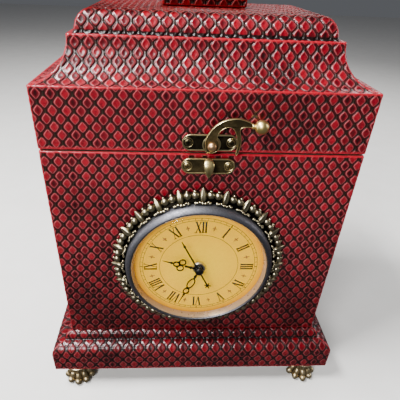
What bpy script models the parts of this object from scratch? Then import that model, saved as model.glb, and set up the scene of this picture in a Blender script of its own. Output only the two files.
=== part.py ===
"""Clock box: a bracket-clock-shaped keepsake box with a hinged lid, a quartz clock in its front and paw feet.

Metres, +Z up. The clock faces -Y. The origin is on the ground, under the middle of the box.
"""

import math

import bmesh
import bpy
from mathutils import Matrix, Vector

MM = 0.001

# Driving dimensions.
BODY_W = 180 * MM
BODY_D = 126 * MM
FOOT_H = 18 * MM
PLINTH_H = 16 * MM
PLINTH_OUT = 13 * MM
MOULDING_H = 12.7 * MM
BODY_H = 143 * MM
BAND_H = 34.5 * MM
COVE_IN = 17.7 * MM
COVE_H = 21.4 * MM
LEDGE = 3.5 * MM
TIER_IN = 8 * MM
TIER_H = 11 * MM
BOARD = 6 * MM
LEATHER = 1.0 * MM
FELT = 0.8 * MM
GAP = 0.3 * MM
SEAM = 0.5 * MM
BAND_BOARD_DROP = 1.15 * MM  # from the cove's skin down to the top of the band's boards
DIAL_UP = 66 * MM  # dial centre above the bottom of the body
SHELF_OUT = 5 * MM  # the plinth's shelf, from the body out to where its rounded front begins
SHELF_H = 7.2 * MM
QUARTER_OUT = 4.2 * MM
QUARTER_H = 4.8 * MM
FOOT_X = 87.5 * MM
FOOT_Y = 67 * MM
TOE_RING = 8 * MM
HANDLE_W = 49 * MM
HANDLE_D = 17 * MM

# Levels and planes that follow.
Z_PLINTH = FOOT_H
Z_BODY = Z_PLINTH + PLINTH_H + MOULDING_H
Z_SEAM = Z_BODY + BODY_H
Z_BAND = Z_SEAM + BAND_H
Z_SHOULDER = Z_BAND + COVE_H
Z_TOP = Z_SHOULDER + TIER_H
HALF_W = BODY_W / 2
HALF_D = BODY_D / 2
FRONT = -HALF_D
SKIN = LEATHER + GAP  # from the leather's face to the boards
BOARD_IN = SKIN + BOARD
DIAL_Z = Z_BODY + DIAL_UP

# Clock, measured forward from the leather's face, and radii from its shaft. The first three in mm.
HOLE_R = 42.0
BEZEL_R = 47.0
ORNAMENT_R = 56.0
GLASS_R = 42.9 * MM
DIAL_FACE = 5.5 * MM
DIAL_T = 0.8 * MM
HAND_T = 0.35 * MM
MOVEMENT = 56 * MM
MOVEMENT_FRONT = 4.4 * MM
MOVEMENT_BACK = -11.6 * MM
CASE_WALL = 1.2 * MM
ROUND = 40  # segments of the large turned rings

# Shafts: bush, hour tube, minute tube and second arbor run inside one another.
BUSH_R = (2.2 * MM, 2.7 * MM)
HOUR_R = (1.55 * MM, 1.95 * MM)
MINUTE_R = (0.8 * MM, 1.3 * MM)
SECOND_R = 0.5 * MM

# The time on the dial.
SECONDS = 55.67
MINUTES = 33 + SECONDS / 60
HOURS = 9 + MINUTES / 60
SECOND_ANGLE = math.radians(6 * SECONDS)
MINUTE_ANGLE = math.radians(6 * MINUTES)
HOUR_ANGLE = math.radians(30 * HOURS)
HOUR_LENGTH = 24.4 * MM
MINUTE_LENGTH = 31.6 * MM
SECOND_LENGTH = 27.3 * MM
SECOND_TAIL = 15.6 * MM

# Latch, on the front of the lid.
LATCH_X = 2 * MM
PIVOT_UP = 5.7 * MM
PLATE_L = 30 * MM
PLATE_H = 9.4 * MM
PLATE_T = 1.0 * MM
HOOK_T = 1.6 * MM

# Hinge, on the rear.
HINGE_L = 110 * MM
KNUCKLE_R = 2.4 * MM
HINGE_PIN_R = 1.05 * MM
HINGE_Y = HALF_D + GAP + KNUCKLE_R
LEAF_T = 0.9 * MM
LEAF_H = 12 * MM

LID_PIECES = ("lid_", "handle_", "latch_upper_", "latch_hook", "latch_rivet", "rear_hinge_lid_leaf",
              "hinge_lid_screw")

PARTS = "clock_box"
CUTTERS = "cutters"
MATERIALS = {
    "leather": ((0.42, 0.02, 0.04), 0.35, 0.0),
    "board": ((0.55, 0.40, 0.26), 0.8, 0.0),
    "felt": ((0.02, 0.02, 0.02), 0.95, 0.0),
    "old_brass": ((0.42, 0.34, 0.18), 0.35, 1.0),
    "gunmetal": ((0.12, 0.12, 0.14), 0.3, 1.0),
    "old_silver": ((0.42, 0.40, 0.32), 0.45, 1.0),
    "pale_metal": ((0.62, 0.60, 0.55), 0.3, 1.0),
    "glass": ((0.95, 0.97, 0.97), 0.05, 0.0),
    "dial": ((0.95, 0.62, 0.14), 0.45, 0.0),
    "black_metal": ((0.02, 0.02, 0.02), 0.4, 0.6),
    "black_plastic": ((0.03, 0.03, 0.03), 0.5, 0.0),
    "nylon": ((0.80, 0.80, 0.76), 0.5, 0.0),
    "copper": ((0.75, 0.32, 0.14), 0.35, 1.0),
    "steel": ((0.6, 0.6, 0.6), 0.3, 1.0),
    "cell": ((0.10, 0.24, 0.14), 0.4, 0.2),
}


def clear_scene():
    for obj in list(bpy.data.objects):
        bpy.data.objects.remove(obj, do_unlink=True)
    for name in (PARTS, CUTTERS):
        collection = bpy.data.collections.new(name)
        bpy.context.scene.collection.children.link(collection)


def material(name, slot):
    colour, roughness, metallic = MATERIALS[slot]
    made = bpy.data.materials.new(name)
    made.use_nodes = True
    shader = made.node_tree.nodes["Principled BSDF"]
    shader.inputs["Base Color"].default_value = (*colour, 1)
    shader.inputs["Roughness"].default_value = roughness
    shader.inputs["Metallic"].default_value = metallic
    return made


def add(name, mesh, slot=None, smooth=True):
    """A part where slot names its material, or a cutter where it doesn't."""
    obj = bpy.data.objects.new(name, mesh)
    bpy.data.collections[PARTS if slot else CUTTERS].objects.link(obj)
    if slot:
        mesh.materials.append(material(name, slot))
        if smooth:
            mesh.shade_smooth()
            mesh.set_sharp_from_angle(angle=math.radians(35))
    else:
        obj.hide_render = True
        obj.display_type = "WIRE"
    return obj


def mesh_of(bm, name):
    bmesh.ops.recalc_face_normals(bm, faces=bm.faces)
    mesh = bpy.data.meshes.new(name)
    bm.to_mesh(mesh)
    bm.free()
    return mesh


def box(name, x, y, z, slot=None, bevel=0):
    """A block between two values on each axis."""
    bm = bmesh.new()
    size = [high - low for low, high in (x, y, z)]
    bmesh.ops.create_cube(bm, size=1)
    bmesh.ops.scale(bm, vec=size, verts=bm.verts)
    obj = add(name, mesh_of(bm, name), slot)
    obj.location = [(low + high) / 2 for low, high in (x, y, z)]
    if bevel:
        rounding = obj.modifiers.new("Bevel", "BEVEL")
        rounding.width = bevel
        rounding.segments = 2
    return obj


def rod(name, start, end, radius, slot=None, segments=12, tip=None):
    """A cylinder or cone between two points."""
    start, end = Vector(start), Vector(end)
    bm = bmesh.new()
    bmesh.ops.create_cone(
        bm,
        cap_ends=True,
        segments=segments,
        radius1=radius,
        radius2=radius if tip is None else tip,
        depth=(end - start).length,
    )
    obj = add(name, mesh_of(bm, name), slot)
    obj.location = (start + end) / 2
    obj.rotation_mode = "QUATERNION"
    obj.rotation_quaternion = (end - start).to_track_quat("Z", "Y")
    return obj


def ball(name, centre, size, slot=None, segments=12, rings=8):
    """An ellipsoid with three half-axes."""
    bm = bmesh.new()
    bmesh.ops.create_uvsphere(bm, u_segments=segments, v_segments=rings, radius=1)
    bmesh.ops.scale(bm, vec=size, verts=bm.verts)
    obj = add(name, mesh_of(bm, name), slot)
    obj.location = centre
    return obj


def turned(name, profile, origin, slot=None, facing=True, segments=ROUND, closed=True):
    """A profile of (radius, height) turned about its own Z, which faces forward (-Y) or up."""
    bm = bmesh.new()
    points = [bm.verts.new((radius, 0, height)) for radius, height in profile]
    for a, b in zip(points, points[1:]):
        bm.edges.new((a, b))
    if closed:
        bm.edges.new((points[-1], points[0]))
    mesh = bpy.data.meshes.new(name)
    bm.to_mesh(mesh)
    bm.free()
    obj = add(name, mesh, slot)
    screw = obj.modifiers.new("Screw", "SCREW")
    screw.axis = "Z"
    screw.steps = segments
    screw.render_steps = segments
    screw.use_merge_vertices = True
    screw.merge_threshold = 0.00001
    screw.use_normal_calculate = False
    screw.use_smooth_shade = True
    obj.location = origin
    if facing:
        obj.rotation_euler = (math.pi / 2, 0, 0)
    return obj


def outline(name, points, thickness, origin, slot=None, holes=()):
    """A flat shape in X and Z, with round holes given as (x, z, radius), centred on its origin in Y."""
    curve = bpy.data.curves.new(name, "CURVE")
    curve.dimensions = "2D"
    curve.fill_mode = "BOTH"
    curve.extrude = thickness / 2
    loops = [points] + [circle(radius, 16, (x, z)) for x, z, radius in holes]
    for loop in loops:
        spline = curve.splines.new("POLY")
        spline.points.add(len(loop) - 1)
        for point, (x, z) in zip(spline.points, loop):
            point.co = (x, z, 0, 1)
        spline.use_cyclic_u = True
    obj = bpy.data.objects.new(name, curve)
    bpy.data.collections[CUTTERS].objects.link(obj)
    obj.location = origin
    obj.rotation_euler = (math.pi / 2, 0, 0)
    return as_mesh(obj, name, slot)


def as_mesh(curve_object, name, slot=None):
    """The curve object made a mesh, with its caps welded to its sides."""
    bpy.context.view_layer.update()
    graph = bpy.context.evaluated_depsgraph_get()
    mesh = bpy.data.meshes.new_from_object(curve_object.evaluated_get(graph))
    bm = bmesh.new()
    bm.from_mesh(mesh)
    bmesh.ops.remove_doubles(bm, verts=bm.verts, dist=0.000005)
    bmesh.ops.recalc_face_normals(bm, faces=bm.faces)
    bm.to_mesh(mesh)
    bm.free()
    mesh.materials.clear()
    placed = curve_object.matrix_world.copy()
    bpy.data.objects.remove(curve_object, do_unlink=True)
    obj = add(name, mesh, slot)
    obj.matrix_world = placed
    return obj


def combine(obj, other, operation):
    step = obj.modifiers.new(operation.title(), "BOOLEAN")
    step.operation = operation
    step.solver = "EXACT"
    step.object = other
    return obj


def cut(obj, *cutters):
    for cutter in cutters:
        combine(obj, cutter, "DIFFERENCE")
    return obj


def join(obj, *others):
    for other in others:
        combine(obj, other, "UNION")
    return obj


def circle(radius, segments, centre=(0, 0)):
    turns = [2 * math.pi * i / segments for i in range(segments)]
    return [(centre[0] + radius * math.cos(t), centre[1] + radius * math.sin(t)) for t in turns]


def arc(centre, radii, start, end, steps):
    """Points on an ellipse's arc, in degrees."""
    turns = [math.radians(start + (end - start) * i / steps) for i in range(steps + 1)]
    return [(centre[0] + radii[0] * math.cos(t), centre[1] + radii[1] * math.sin(t)) for t in turns]


def moved_in(profile, distance):
    """The (inset, z) profile moved to its inner side, which is on the right of its direction."""
    moved = []
    for i, (inset, z) in enumerate(profile):
        before = Vector(profile[max(i - 1, 0)])
        here = Vector((inset, z))
        after = Vector(profile[min(i + 1, len(profile) - 1)])
        directions = [d.normalized() for d in (here - before, after - here) if d.length > 1e-9]
        normals = [Vector((d.y, -d.x)) for d in directions]
        normal = sum(normals, Vector((0, 0))).normalized()
        stretch = max(normal.dot(normals[0]), 0.5)
        moved.append(tuple(here + normal * distance / stretch))
    return moved


def swept(name, profile, slot, closed=True):
    """A profile of (inset from the body's faces, z) run round the body's rectangle, with mitred corners."""
    bm = bmesh.new()
    loops = []
    for inset, z in profile:
        x, y = HALF_W - inset, HALF_D - inset
        loops.append([bm.verts.new((sx * x, sy * y, z)) for sx, sy in ((-1, -1), (1, -1), (1, 1), (-1, 1))])
    pairs = list(zip(loops, loops[1:]))
    if closed:
        pairs.append((loops[-1], loops[0]))
    else:
        bm.faces.new(loops[0])
        bm.faces.new(loops[-1])
    for a, b in pairs:
        for i in range(4):
            j = (i + 1) % 4
            bm.faces.new((a[i], a[j], b[j], b[i]))
    return add(name, mesh_of(bm, name), slot)


def drilled(name, places, radius, depth, facing=-1):
    """One cutter of separate round holes along Y. Each starts 2 mm in front of its place."""
    bm = bmesh.new()
    for x, y, z in places:
        middle = y - facing * (depth / 2 - 2 * MM)
        turn = Matrix.Translation((x, middle, z)) @ Matrix.Rotation(math.pi / 2, 4, "X")
        bmesh.ops.create_cone(
            bm, cap_ends=True, segments=8, radius1=radius, radius2=radius, depth=depth, matrix=turn
        )
    return add(name, mesh_of(bm, name))


# The box's outline, in inset from the body's faces and height.


def lid_profile():
    band = [(0, Z_SEAM + SEAM / 2), (0, Z_BAND)]
    cove = arc((0, Z_SHOULDER), (COVE_IN, COVE_H), -90, 0, 6)[1:]
    foot = COVE_IN + LEDGE
    tier = arc((foot + TIER_IN, Z_SHOULDER), (TIER_IN, TIER_H), 180, 90, 4)
    return band + cove + tier


def plinth_profile():
    """From the bottom edge up to the body: a band, a rounded shelf and a quarter round."""
    shelf = arc((-SHELF_OUT, Z_PLINTH + PLINTH_H), (SHELF_OUT - PLINTH_OUT, SHELF_H), 0, 90, 4)
    quarter = arc((0, Z_BODY - QUARTER_H), (-QUARTER_OUT, QUARTER_H), 0, 90, 3)
    return [(-PLINTH_OUT, Z_PLINTH)] + shelf + quarter


# Case.


def case_boards():
    low, high = Z_BODY + GAP, Z_SEAM - SEAM / 2
    outer_x, outer_y = HALF_W - SKIN, HALF_D - SKIN
    inner_x, inner_y = HALF_W - BOARD_IN, HALF_D - BOARD_IN
    across = (-outer_x, outer_x)
    front = box("case_front_panel", across, (-outer_y, -inner_y), (low, high), "board")
    rear = box("case_rear_panel", across, (inner_y, outer_y), (low, high), "board")
    depth = (-inner_y + GAP, inner_y - GAP)
    box("case_left_panel", (-outer_x, -inner_x), depth, (low, high), "board")
    box("case_right_panel", (inner_x, outer_x), depth, (low, high), "board")
    box("case_floor", (-inner_x + GAP, inner_x - GAP), depth, (low, low + BOARD), "board")
    return front, rear


def case_cover():
    low, high = Z_BODY + GAP, Z_SEAM - SEAM / 2
    profile = [(0, low), (0, high), (LEATHER, high), (LEATHER, low)]
    return swept("case_cover", profile, "leather")


def case_lining():
    """A felt tray inside the boards."""
    wall = BOARD_IN + GAP
    low, high = Z_BODY + 2 * GAP + BOARD, Z_SEAM - SEAM / 2
    profile = [
        (wall + FELT, low + FELT),
        (wall + FELT, high),
        (wall, high),
        (wall, low),
    ]
    tray = swept("case_lining", profile, "felt", closed=False)
    half = MOVEMENT / 2 + 2 * MM
    window = box(
        "lining_window",
        (-half, half),
        (FRONT, FRONT + BOARD_IN + 5 * MM),
        (DIAL_Z - half, DIAL_Z + half),
    )
    return cut(tray, window)


def plinth():
    outer = plinth_profile()
    skin = outer + [(3 * MM, Z_BODY)]
    inner = moved_in(skin, LEATHER)
    swept("plinth_cover", skin + inner[::-1], "leather")
    core = moved_in(outer, SKIN)
    core[0] = (core[0][0], Z_PLINTH)
    back = 20 * MM
    swept("plinth_frame", core + [(back, core[-1][1]), (back, Z_PLINTH)], "board")


def foot(name, side, end):
    """A lion's paw: a turned leg with five toes fanned round its front."""
    x, y = side * FOOT_X, end * FOOT_Y
    leg = [(0, 17.6), (9.5, 17.6), (9.5, 16.2), (6.6, 13.6), (6.2, 9.5), (7.8, 4.0), (7.2, 0), (0, 0)]
    paw = turned(name, [(r * MM, h * MM) for r, h in leg], (x, y, 0), "old_brass", facing=False,
                 segments=14, closed=False)
    for i in range(5):
        turn = math.radians(-76 + 38 * i)
        place = (TOE_RING * math.sin(turn), end * TOE_RING * math.cos(turn), 4 * MM)
        toe = ball(f"{name}_toe_{i}", (x + place[0], y + place[1], place[2]),
                   (3.1 * MM, 4 * MM, 4 * MM), segments=6, rings=5)
        toe.rotation_euler = (0, 0, -turn * end)
        join(paw, toe)
    return paw


# Lid.


def lid():
    outer = lid_profile()
    inner = moved_in(outer, LEATHER)
    inner[0] = (LEATHER, outer[0][1])
    cover = swept("lid_cover", inner[::-1] + outer, "leather", closed=False)
    low = Z_SEAM + SEAM / 2
    top_of_band = Z_BAND - SKIN - BAND_BOARD_DROP
    frame = [(SKIN, low), (SKIN, top_of_band), (BOARD_IN, top_of_band), (BOARD_IN, low)]
    swept("lid_frame", frame, "board")
    shell = moved_in(outer, SKIN)
    cove_base = top_of_band + GAP
    cove_top = Z_SHOULDER - SKIN - GAP
    cove = [point for point in shell[1:8] if cove_base < point[1] < cove_top]
    back = 30 * MM
    ring = [(SKIN, cove_base), *cove, (shell[7][0], cove_top), (back, cove_top), (back, cove_base)]
    swept("lid_cove", ring, "board")
    tier = shell[-5:]
    tier[0] = (tier[0][0], cove_top + GAP)
    board = swept("lid_top", tier, "board", closed=False)
    wall = BOARD_IN + GAP
    high = top_of_band
    lining = [
        (wall, high),
        (wall, low),
        (wall + FELT, low),
        (wall + FELT, high - FELT),
    ]
    swept("lid_lining", lining, "felt", closed=False)
    return cover, board


POST_X = 17 * MM
PEDESTAL_H = 5 * MM
BAIL_UP = 7.5 * MM
BAIL_R = 1.9 * MM
BAIL_H = 19 * MM


def handle(lid_cover, lid_top):
    """A low pad, two posts with stems down into the lid, and a bail that swings in the posts' eyes."""
    base = Z_TOP + GAP
    pad = box("handle_pad", (-HANDLE_W / 2, HANDLE_W / 2), (-HANDLE_D / 2, HANDLE_D / 2),
              (base, base + PEDESTAL_H), "leather", bevel=1.2 * MM)
    foot_z = base + PEDESTAL_H + GAP
    eye_z = foot_z + BAIL_UP
    for side, label in ((-1, "left"), (1, "right")):
        x = side * POST_X
        stem = [(0, BAIL_UP + 2.6 * MM), (1.6 * MM, BAIL_UP + 2.2 * MM), (2.9 * MM, BAIL_UP + 0.8 * MM),
                (2.9 * MM, BAIL_UP - 1.6 * MM), (1.9 * MM, BAIL_UP - 3.4 * MM), (2.4 * MM, 2.2 * MM),
                (5.2 * MM, 1.2 * MM), (5.2 * MM, 0), (1.5 * MM, 0), (1.5 * MM, -14 * MM), (0, -14 * MM)]
        post = turned(f"handle_post_{label}", stem, (x, 0, foot_z), "old_brass", facing=False,
                      segments=16, closed=False)
        eye = rod(f"eye_{label}", (x - 5 * MM, 0, eye_z), (x + 5 * MM, 0, eye_z), BAIL_R * 0.6 + GAP)
        cut(post, eye)
        hole = rod(f"stem_{label}", (x, 0, foot_z - 18 * MM), (x, 0, foot_z + 1 * MM), 1.8 * MM,
                   segments=16)
        for part in (pad, lid_cover, lid_top):
            cut(part, hole)
    half = POST_X + 5.4 * MM
    path = [(-x, 0) for x in (POST_X - 2.2 * MM, POST_X + 3.2 * MM, POST_X + 3.5 * MM, half)]
    path += arc((-half + 6 * MM, BAIL_H - 7 * MM), (6 * MM, 7 * MM), 180, 90, 4)
    path += [(-x, z) for x, z in path[::-1]]
    curve = bpy.data.curves.new("handle_bail", "CURVE")
    curve.dimensions = "3D"
    curve.bevel_depth = BAIL_R
    curve.bevel_resolution = 2
    curve.use_fill_caps = True
    spline = curve.splines.new("POLY")
    spline.points.add(len(path) - 1)
    for point, (x, z) in zip(spline.points, path):
        point.co = (x, 0, z, 1)
        point.radius = 0.6 if abs(x) < POST_X + 3.3 * MM and z == 0 else 1.0
    bail = bpy.data.objects.new("handle_bail", curve)
    bpy.data.collections[CUTTERS].objects.link(bail)
    bail.location = (0, 0, eye_z)
    as_mesh(bail, "handle_bail", "old_brass")


def screw(name, place, facing=-1, head=1.7 * MM, shank=0.8 * MM, length=5.5 * MM):
    """A domed screw whose head's underside is at its place."""
    profile = [(0, 0.85 * MM), (head * 0.6, 0.65 * MM), (head, 0.15 * MM), (head, 0),
               (shank, 0), (shank, -length), (0, -length - 0.8 * MM)]
    obj = turned(name, profile, place, "old_brass", segments=8, closed=False)
    if facing > 0:
        obj.rotation_euler = (-math.pi / 2, 0, 0)
    return obj


# Hinge.


def rear_hinge(case_cover_, case_rear, lid_cover_, lid_frame_):
    knuckle = HINGE_L / 5
    half = HINGE_L / 2
    leaf_y = (HALF_D + GAP, HALF_D + GAP + LEAF_T)
    leaves = {"case": (-1, (0, 2, 4)), "lid": (1, (1, 3))}
    for label, (side, mine) in leaves.items():
        near, far = Z_SEAM + side * GAP, Z_SEAM + side * LEAF_H
        plate = box(f"rear_hinge_{label}_leaf", (-half, half), leaf_y, sorted((near, far)), "old_brass")
        for i in range(5):
            start = -half + i * knuckle
            play = GAP / 2 if i in mine else -GAP / 2
            ends = [(start + play, HINGE_Y, Z_SEAM), (start + knuckle - play, HINGE_Y, Z_SEAM)]
            if i in mine:
                join(plate, rod(f"{label}_knuckle_{i}", *ends, KNUCKLE_R, segments=12))
            else:
                cut(plate, rod(f"{label}_relief_{i}", *ends, KNUCKLE_R + 0.4 * MM, segments=12))
        bore = rod(f"{label}_bore", (-half - MM, HINGE_Y, Z_SEAM), (half + MM, HINGE_Y, Z_SEAM),
                   HINGE_PIN_R + 0.25 * MM, segments=12)
        cut(plate, bore)
        places = [(x, leaf_y[1], Z_SEAM + side * 8.4 * MM) for x in (-44 * MM, 0, 44 * MM)]
        for i, place in enumerate(places):
            screw(f"hinge_{label}_screw_{i + 1}", (place[0], place[1] + 0.1 * MM, place[2]), facing=1)
        holes = drilled(f"{label}_hinge_holes", places, 1.1 * MM, 10 * MM, facing=1)
        cut(plate, holes)
        for part in ((case_cover_, case_rear) if side < 0 else (lid_cover_, lid_frame_)):
            cut(part, holes)
    rod("rear_hinge_pin", (-half, HINGE_Y, Z_SEAM), (half, HINGE_Y, Z_SEAM), HINGE_PIN_R, "old_brass")


# Latch.


def pill(length, height):
    """A plate with half-round ends."""
    r = height / 2
    reach = length / 2 - r
    return arc((reach, 0), (r, r), -90, 90, 8) + arc((-reach, 0), (r, r), 90, 270, 8)


def hook_outline():
    """The swing hook about its pivot: a round boss, an arch to the right and a claw that hangs from it."""
    boss = arc((0, 0), (4.4 * MM, 4.4 * MM), 30, -180, 9)[:-1]
    outer = arc((12.6 * MM, -0.6 * MM), (17 * MM, 16 * MM), 178, 62, 8)
    neck = [(22.6 * MM, 12.3 * MM), (22.4 * MM, 10.2 * MM)]
    under = [(19.5 * MM, 10.6 * MM), (16.6 * MM, 9.4 * MM)]
    claw_out = arc((5 * MM, 1.6 * MM), (12 * MM, 9.5 * MM), 44, -42, 6)
    claw_in = arc((3.6 * MM, 0.6 * MM), (9.6 * MM, 9.8 * MM), -28, 62, 6)
    inner = [(5.6 * MM, 10.2 * MM), (3.9 * MM, 6.6 * MM)]
    return boss + outer + neck + under + claw_out + claw_in + inner


def latch(case_cover_, case_front, lid_cover_, lid_frame_):
    face = FRONT - GAP
    pivot = Vector((LATCH_X + 0.9 * MM, 0, Z_SEAM + PIVOT_UP))
    upper_z = Z_SEAM + 6.6 * MM
    lower_z = Z_SEAM - 7.4 * MM
    reach = PLATE_L / 2 - 3.3 * MM
    screws = [(side * reach, 0, 1.15 * MM) for side in (-1, 1)]
    body = pill(PLATE_L, PLATE_H)
    middle = face - PLATE_T / 2
    upper = outline("latch_upper_plate", body, PLATE_T, (LATCH_X, middle, upper_z), "old_brass",
                    holes=screws + [(pivot.x - LATCH_X, pivot.z - upper_z, 1.5 * MM)])
    lower = outline("latch_lower_plate", body, PLATE_T, (LATCH_X, middle, lower_z), "old_brass",
                    holes=screws)
    boss_face = face - PLATE_T
    boss = turned("latch_boss", [(1.5 * MM, 1.2 * MM), (4.2 * MM, 1.2 * MM), (5.0 * MM, 0.4 * MM),
                                 (5.0 * MM, -0.5 * MM), (1.5 * MM, -0.5 * MM)],
                  (pivot.x, boss_face, pivot.z), segments=24)
    join(upper, boss)
    hook_back = boss_face - 1.5 * MM
    hook = outline("latch_hook", hook_outline(), HOOK_T, (pivot.x, hook_back - HOOK_T / 2, pivot.z),
                   "old_brass", holes=[(0, 0, 1.5 * MM)])
    join(hook, ball("hook_ball", (pivot.x + 25.2 * MM, hook_back - 1.6 * MM, pivot.z + 11.3 * MM),
                    (3.8 * MM,) * 3, segments=14, rings=9))
    rivet = [(0, 5.6 * MM), (1.5 * MM, 5.3 * MM), (2.5 * MM, 4.4 * MM), (2.6 * MM, 3.5 * MM),
             (1.2 * MM, 3.5 * MM), (1.2 * MM, -0.2 * MM), (0, -0.2 * MM)]
    turned("latch_rivet", rivet, (pivot.x, boss_face, pivot.z), "old_brass", segments=16, closed=False)
    tongue(lower, boss_face, lower_z)
    for plate_z, label, parts in ((upper_z, "upper", (lid_cover_, lid_frame_)),
                                  (lower_z, "lower", (case_cover_, case_front))):
        places = [(LATCH_X + x, boss_face, plate_z) for x, _, _ in screws]
        for place, end in zip(places, ("left", "right")):
            screw(f"latch_{label}_screw_{end}", (place[0], place[1] - 0.1 * MM, place[2]),
                  head=1.9 * MM)
        holes = drilled(f"latch_{label}_holes", places, 1.1 * MM, 10 * MM)
        for part in parts:
            cut(part, holes)
    return pivot


def tongue(plate, plate_face, plate_z):
    """The catch: a strip bent out from the plate's top edge and down over the claw's path."""
    front = 4.2 * MM
    side = [(0.2 * MM, 4.6 * MM), (-3.0 * MM, 4.4 * MM), (-front - 1.2 * MM, 2.0 * MM),
            (-front - 1.3 * MM, -1.5 * MM), (-front - 0.9 * MM, -3.6 * MM),
            (-front - 0.1 * MM, -3.6 * MM), (-front, -1.2 * MM), (-front + 0.3 * MM, 1.4 * MM),
            (-2.4 * MM, 3.0 * MM), (0.2 * MM, 3.2 * MM)]
    curve = bpy.data.curves.new("tongue", "CURVE")
    curve.dimensions = "2D"
    curve.fill_mode = "BOTH"
    curve.extrude = 2.4 * MM
    spline = curve.splines.new("POLY")
    spline.points.add(len(side) - 1)
    for point, (y, z) in zip(spline.points, side):
        point.co = (y, z, 0, 1)
    spline.use_cyclic_u = True
    obj = bpy.data.objects.new("tongue", curve)
    bpy.data.collections[CUTTERS].objects.link(obj)
    obj.matrix_world = Matrix.Translation((LATCH_X, plate_face, plate_z)) @ Matrix(
        ((0, 0, 1, 0), (1, 0, 0, 0), (0, 1, 0, 0), (0, 0, 0, 1))
    )
    join(plate, as_mesh(obj, "tongue"))


# Clock.


def at_dial(forward=0, x=0, z=0):
    """A point by its distance in front of the leather and its place from the shaft."""
    return Vector((x, FRONT - forward, DIAL_Z + z))


def in_mm(*points):
    return [(a * MM, b * MM) for a, b in points]


def clock_front():
    origin = at_dial()
    turned("ornate_ring", in_mm((HOLE_R + 0.2, 2.5), (BEZEL_R + 0.3, 2.5), (BEZEL_R + 0.8, 4.6),
                                (50.5, 5.2), (54, 3.6), (ORNAMENT_R, 1.4), (ORNAMENT_R, 0.3),
                                (HOLE_R + 0.2, 0.3)), origin, "old_silver")
    turned("bezel", in_mm((40.5, 4.1), (43.2, 4.1), (43.2, 9.0), (43.8, 10.2), (45.0, 10.6),
                          (46.3, 9.7), (BEZEL_R, 7.7), (BEZEL_R, 2.8), (41.6, 2.8), (41.6, -6),
                          (40.5, -6)), origin, "gunmetal")
    turned("lens_ring", in_mm((41.0, 6.4), (41.8, 7.4), (42.9, 7.4), (42.9, 5.8), (41.0, 5.8)),
           origin, "pale_metal")
    lens = arc((0, 7.7 * MM), (GLASS_R, 5.8 * MM), 90, 12, 4) + in_mm((42.9, 7.7))
    under = arc((0, 7.7 * MM), (41.5 * MM, 4.4 * MM), 0, 90, 4)
    turned("lens", lens + under, origin, "glass", closed=False)
    turned("dial", [(2.95 * MM, DIAL_FACE), (GLASS_R, DIAL_FACE), (GLASS_R, DIAL_FACE - DIAL_T),
                    (2.95 * MM, DIAL_FACE - DIAL_T)], origin, "dial")
    nut = in_mm((2.95, 7.6), (3.2, 7.6), (3.8, 6.8), (3.9, 5.8), (2.95, 5.8))
    turned("movement_nut", nut, origin, "steel", segments=16)


def spade(length, loops):
    """Half the width of a hand, as (along, width), from its boss to its tip."""
    widths = [(2.4 * MM, 0.7 * MM)]
    for start, end, width in loops:
        middle = (start + end) / 2
        widths += [(start, 0.5 * MM), (middle, width), (end, 0.45 * MM)]
    return widths + [(length, 0.15 * MM)]


def hand(name, angle, forward, boss_r, bore, widths, slot="black_metal", tail=None):
    """A flat hand with a round boss, lying at a clockwise angle from twelve."""
    right = [(width, along) for along, width in widths]
    left = [(-width, along) for along, width in reversed(widths)]
    start = math.degrees(math.atan2(widths[0][0], -widths[0][1]))
    finish = math.degrees(math.atan2(widths[0][0], widths[0][1])) + 360
    round_boss = arc((0, 0), (boss_r, boss_r), start, finish, 12)[1:-1]
    if tail:
        round_boss = arc((0, 0), (boss_r, boss_r), start, 262, 5)[1:]
        round_boss += [(-tail[1], -tail[0]), (tail[1], -tail[0])]
        round_boss += arc((0, 0), (boss_r, boss_r), 278, finish, 5)[:-1]
    points = right + left + round_boss
    turned_points = [
        (x * math.cos(angle) + z * math.sin(angle), -x * math.sin(angle) + z * math.cos(angle))
        for x, z in points
    ]
    middle = at_dial(forward + HAND_T / 2)
    holes = [(0, 0, bore)] if bore else []
    return outline(name, turned_points, HAND_T, middle, slot, holes=holes)


def hands():
    hour = spade(HOUR_LENGTH, [(8.5 * MM, 16 * MM, 4.2 * MM)])
    hand("hour_hand", HOUR_ANGLE, 8.2 * MM, 2.9 * MM, HOUR_R[1] + 0.25 * MM, hour)
    minute = spade(MINUTE_LENGTH, [(7.5 * MM, 16.5 * MM, 2.3 * MM), (17 * MM, 21.6 * MM, 1.6 * MM)])
    hand("minute_hand", MINUTE_ANGLE, 9.3 * MM, 2.4 * MM, MINUTE_R[1] + 0.25 * MM, minute)
    second = [(2.4 * MM, 0.45 * MM), (22 * MM, 0.35 * MM), (23.2 * MM, 0.8 * MM), (24.4 * MM, 0.35 * MM),
              (SECOND_LENGTH, 0.12 * MM)]
    needle = hand("second_hand", SECOND_ANGLE, 10.3 * MM, 2.6 * MM, 0, second,
                  tail=(SECOND_TAIL, 0.5 * MM))
    cap = turned("second_cap", in_mm((0, 11.6), (1.4, 11.4), (2.4, 10.9), (2.4, 10.4), (0, 10.4)),
                 at_dial(), segments=16, closed=False)
    join(needle, cap)
    return needle


# Movement: quartz, with a wheel train of moulded gears.

ADDENDUM = 0.85
DEDENDUM = 1.25
ARBOR_R = 0.6 * MM
PIVOT_PLAY = 0.3 * MM
TRAIN = 11.5 * MM  # shaft to third wheel
MOTION = 12.5 * MM  # shaft to motion wheel
FIFTH = 11.0 * MM  # shaft to fifth wheel
ROTOR = 10.71 * MM  # fifth wheel to rotor


def away(distance, degrees, start=(0, 0)):
    turn = math.radians(degrees)
    return start[0] + distance * math.cos(turn), start[1] + distance * math.sin(turn)


THIRD_AT = away(TRAIN, 75)
MOTION_AT = away(MOTION, 170)
FIFTH_AT = away(FIFTH, 0)
ROTOR_AT = away(ROTOR, 20, FIFTH_AT)


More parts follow.
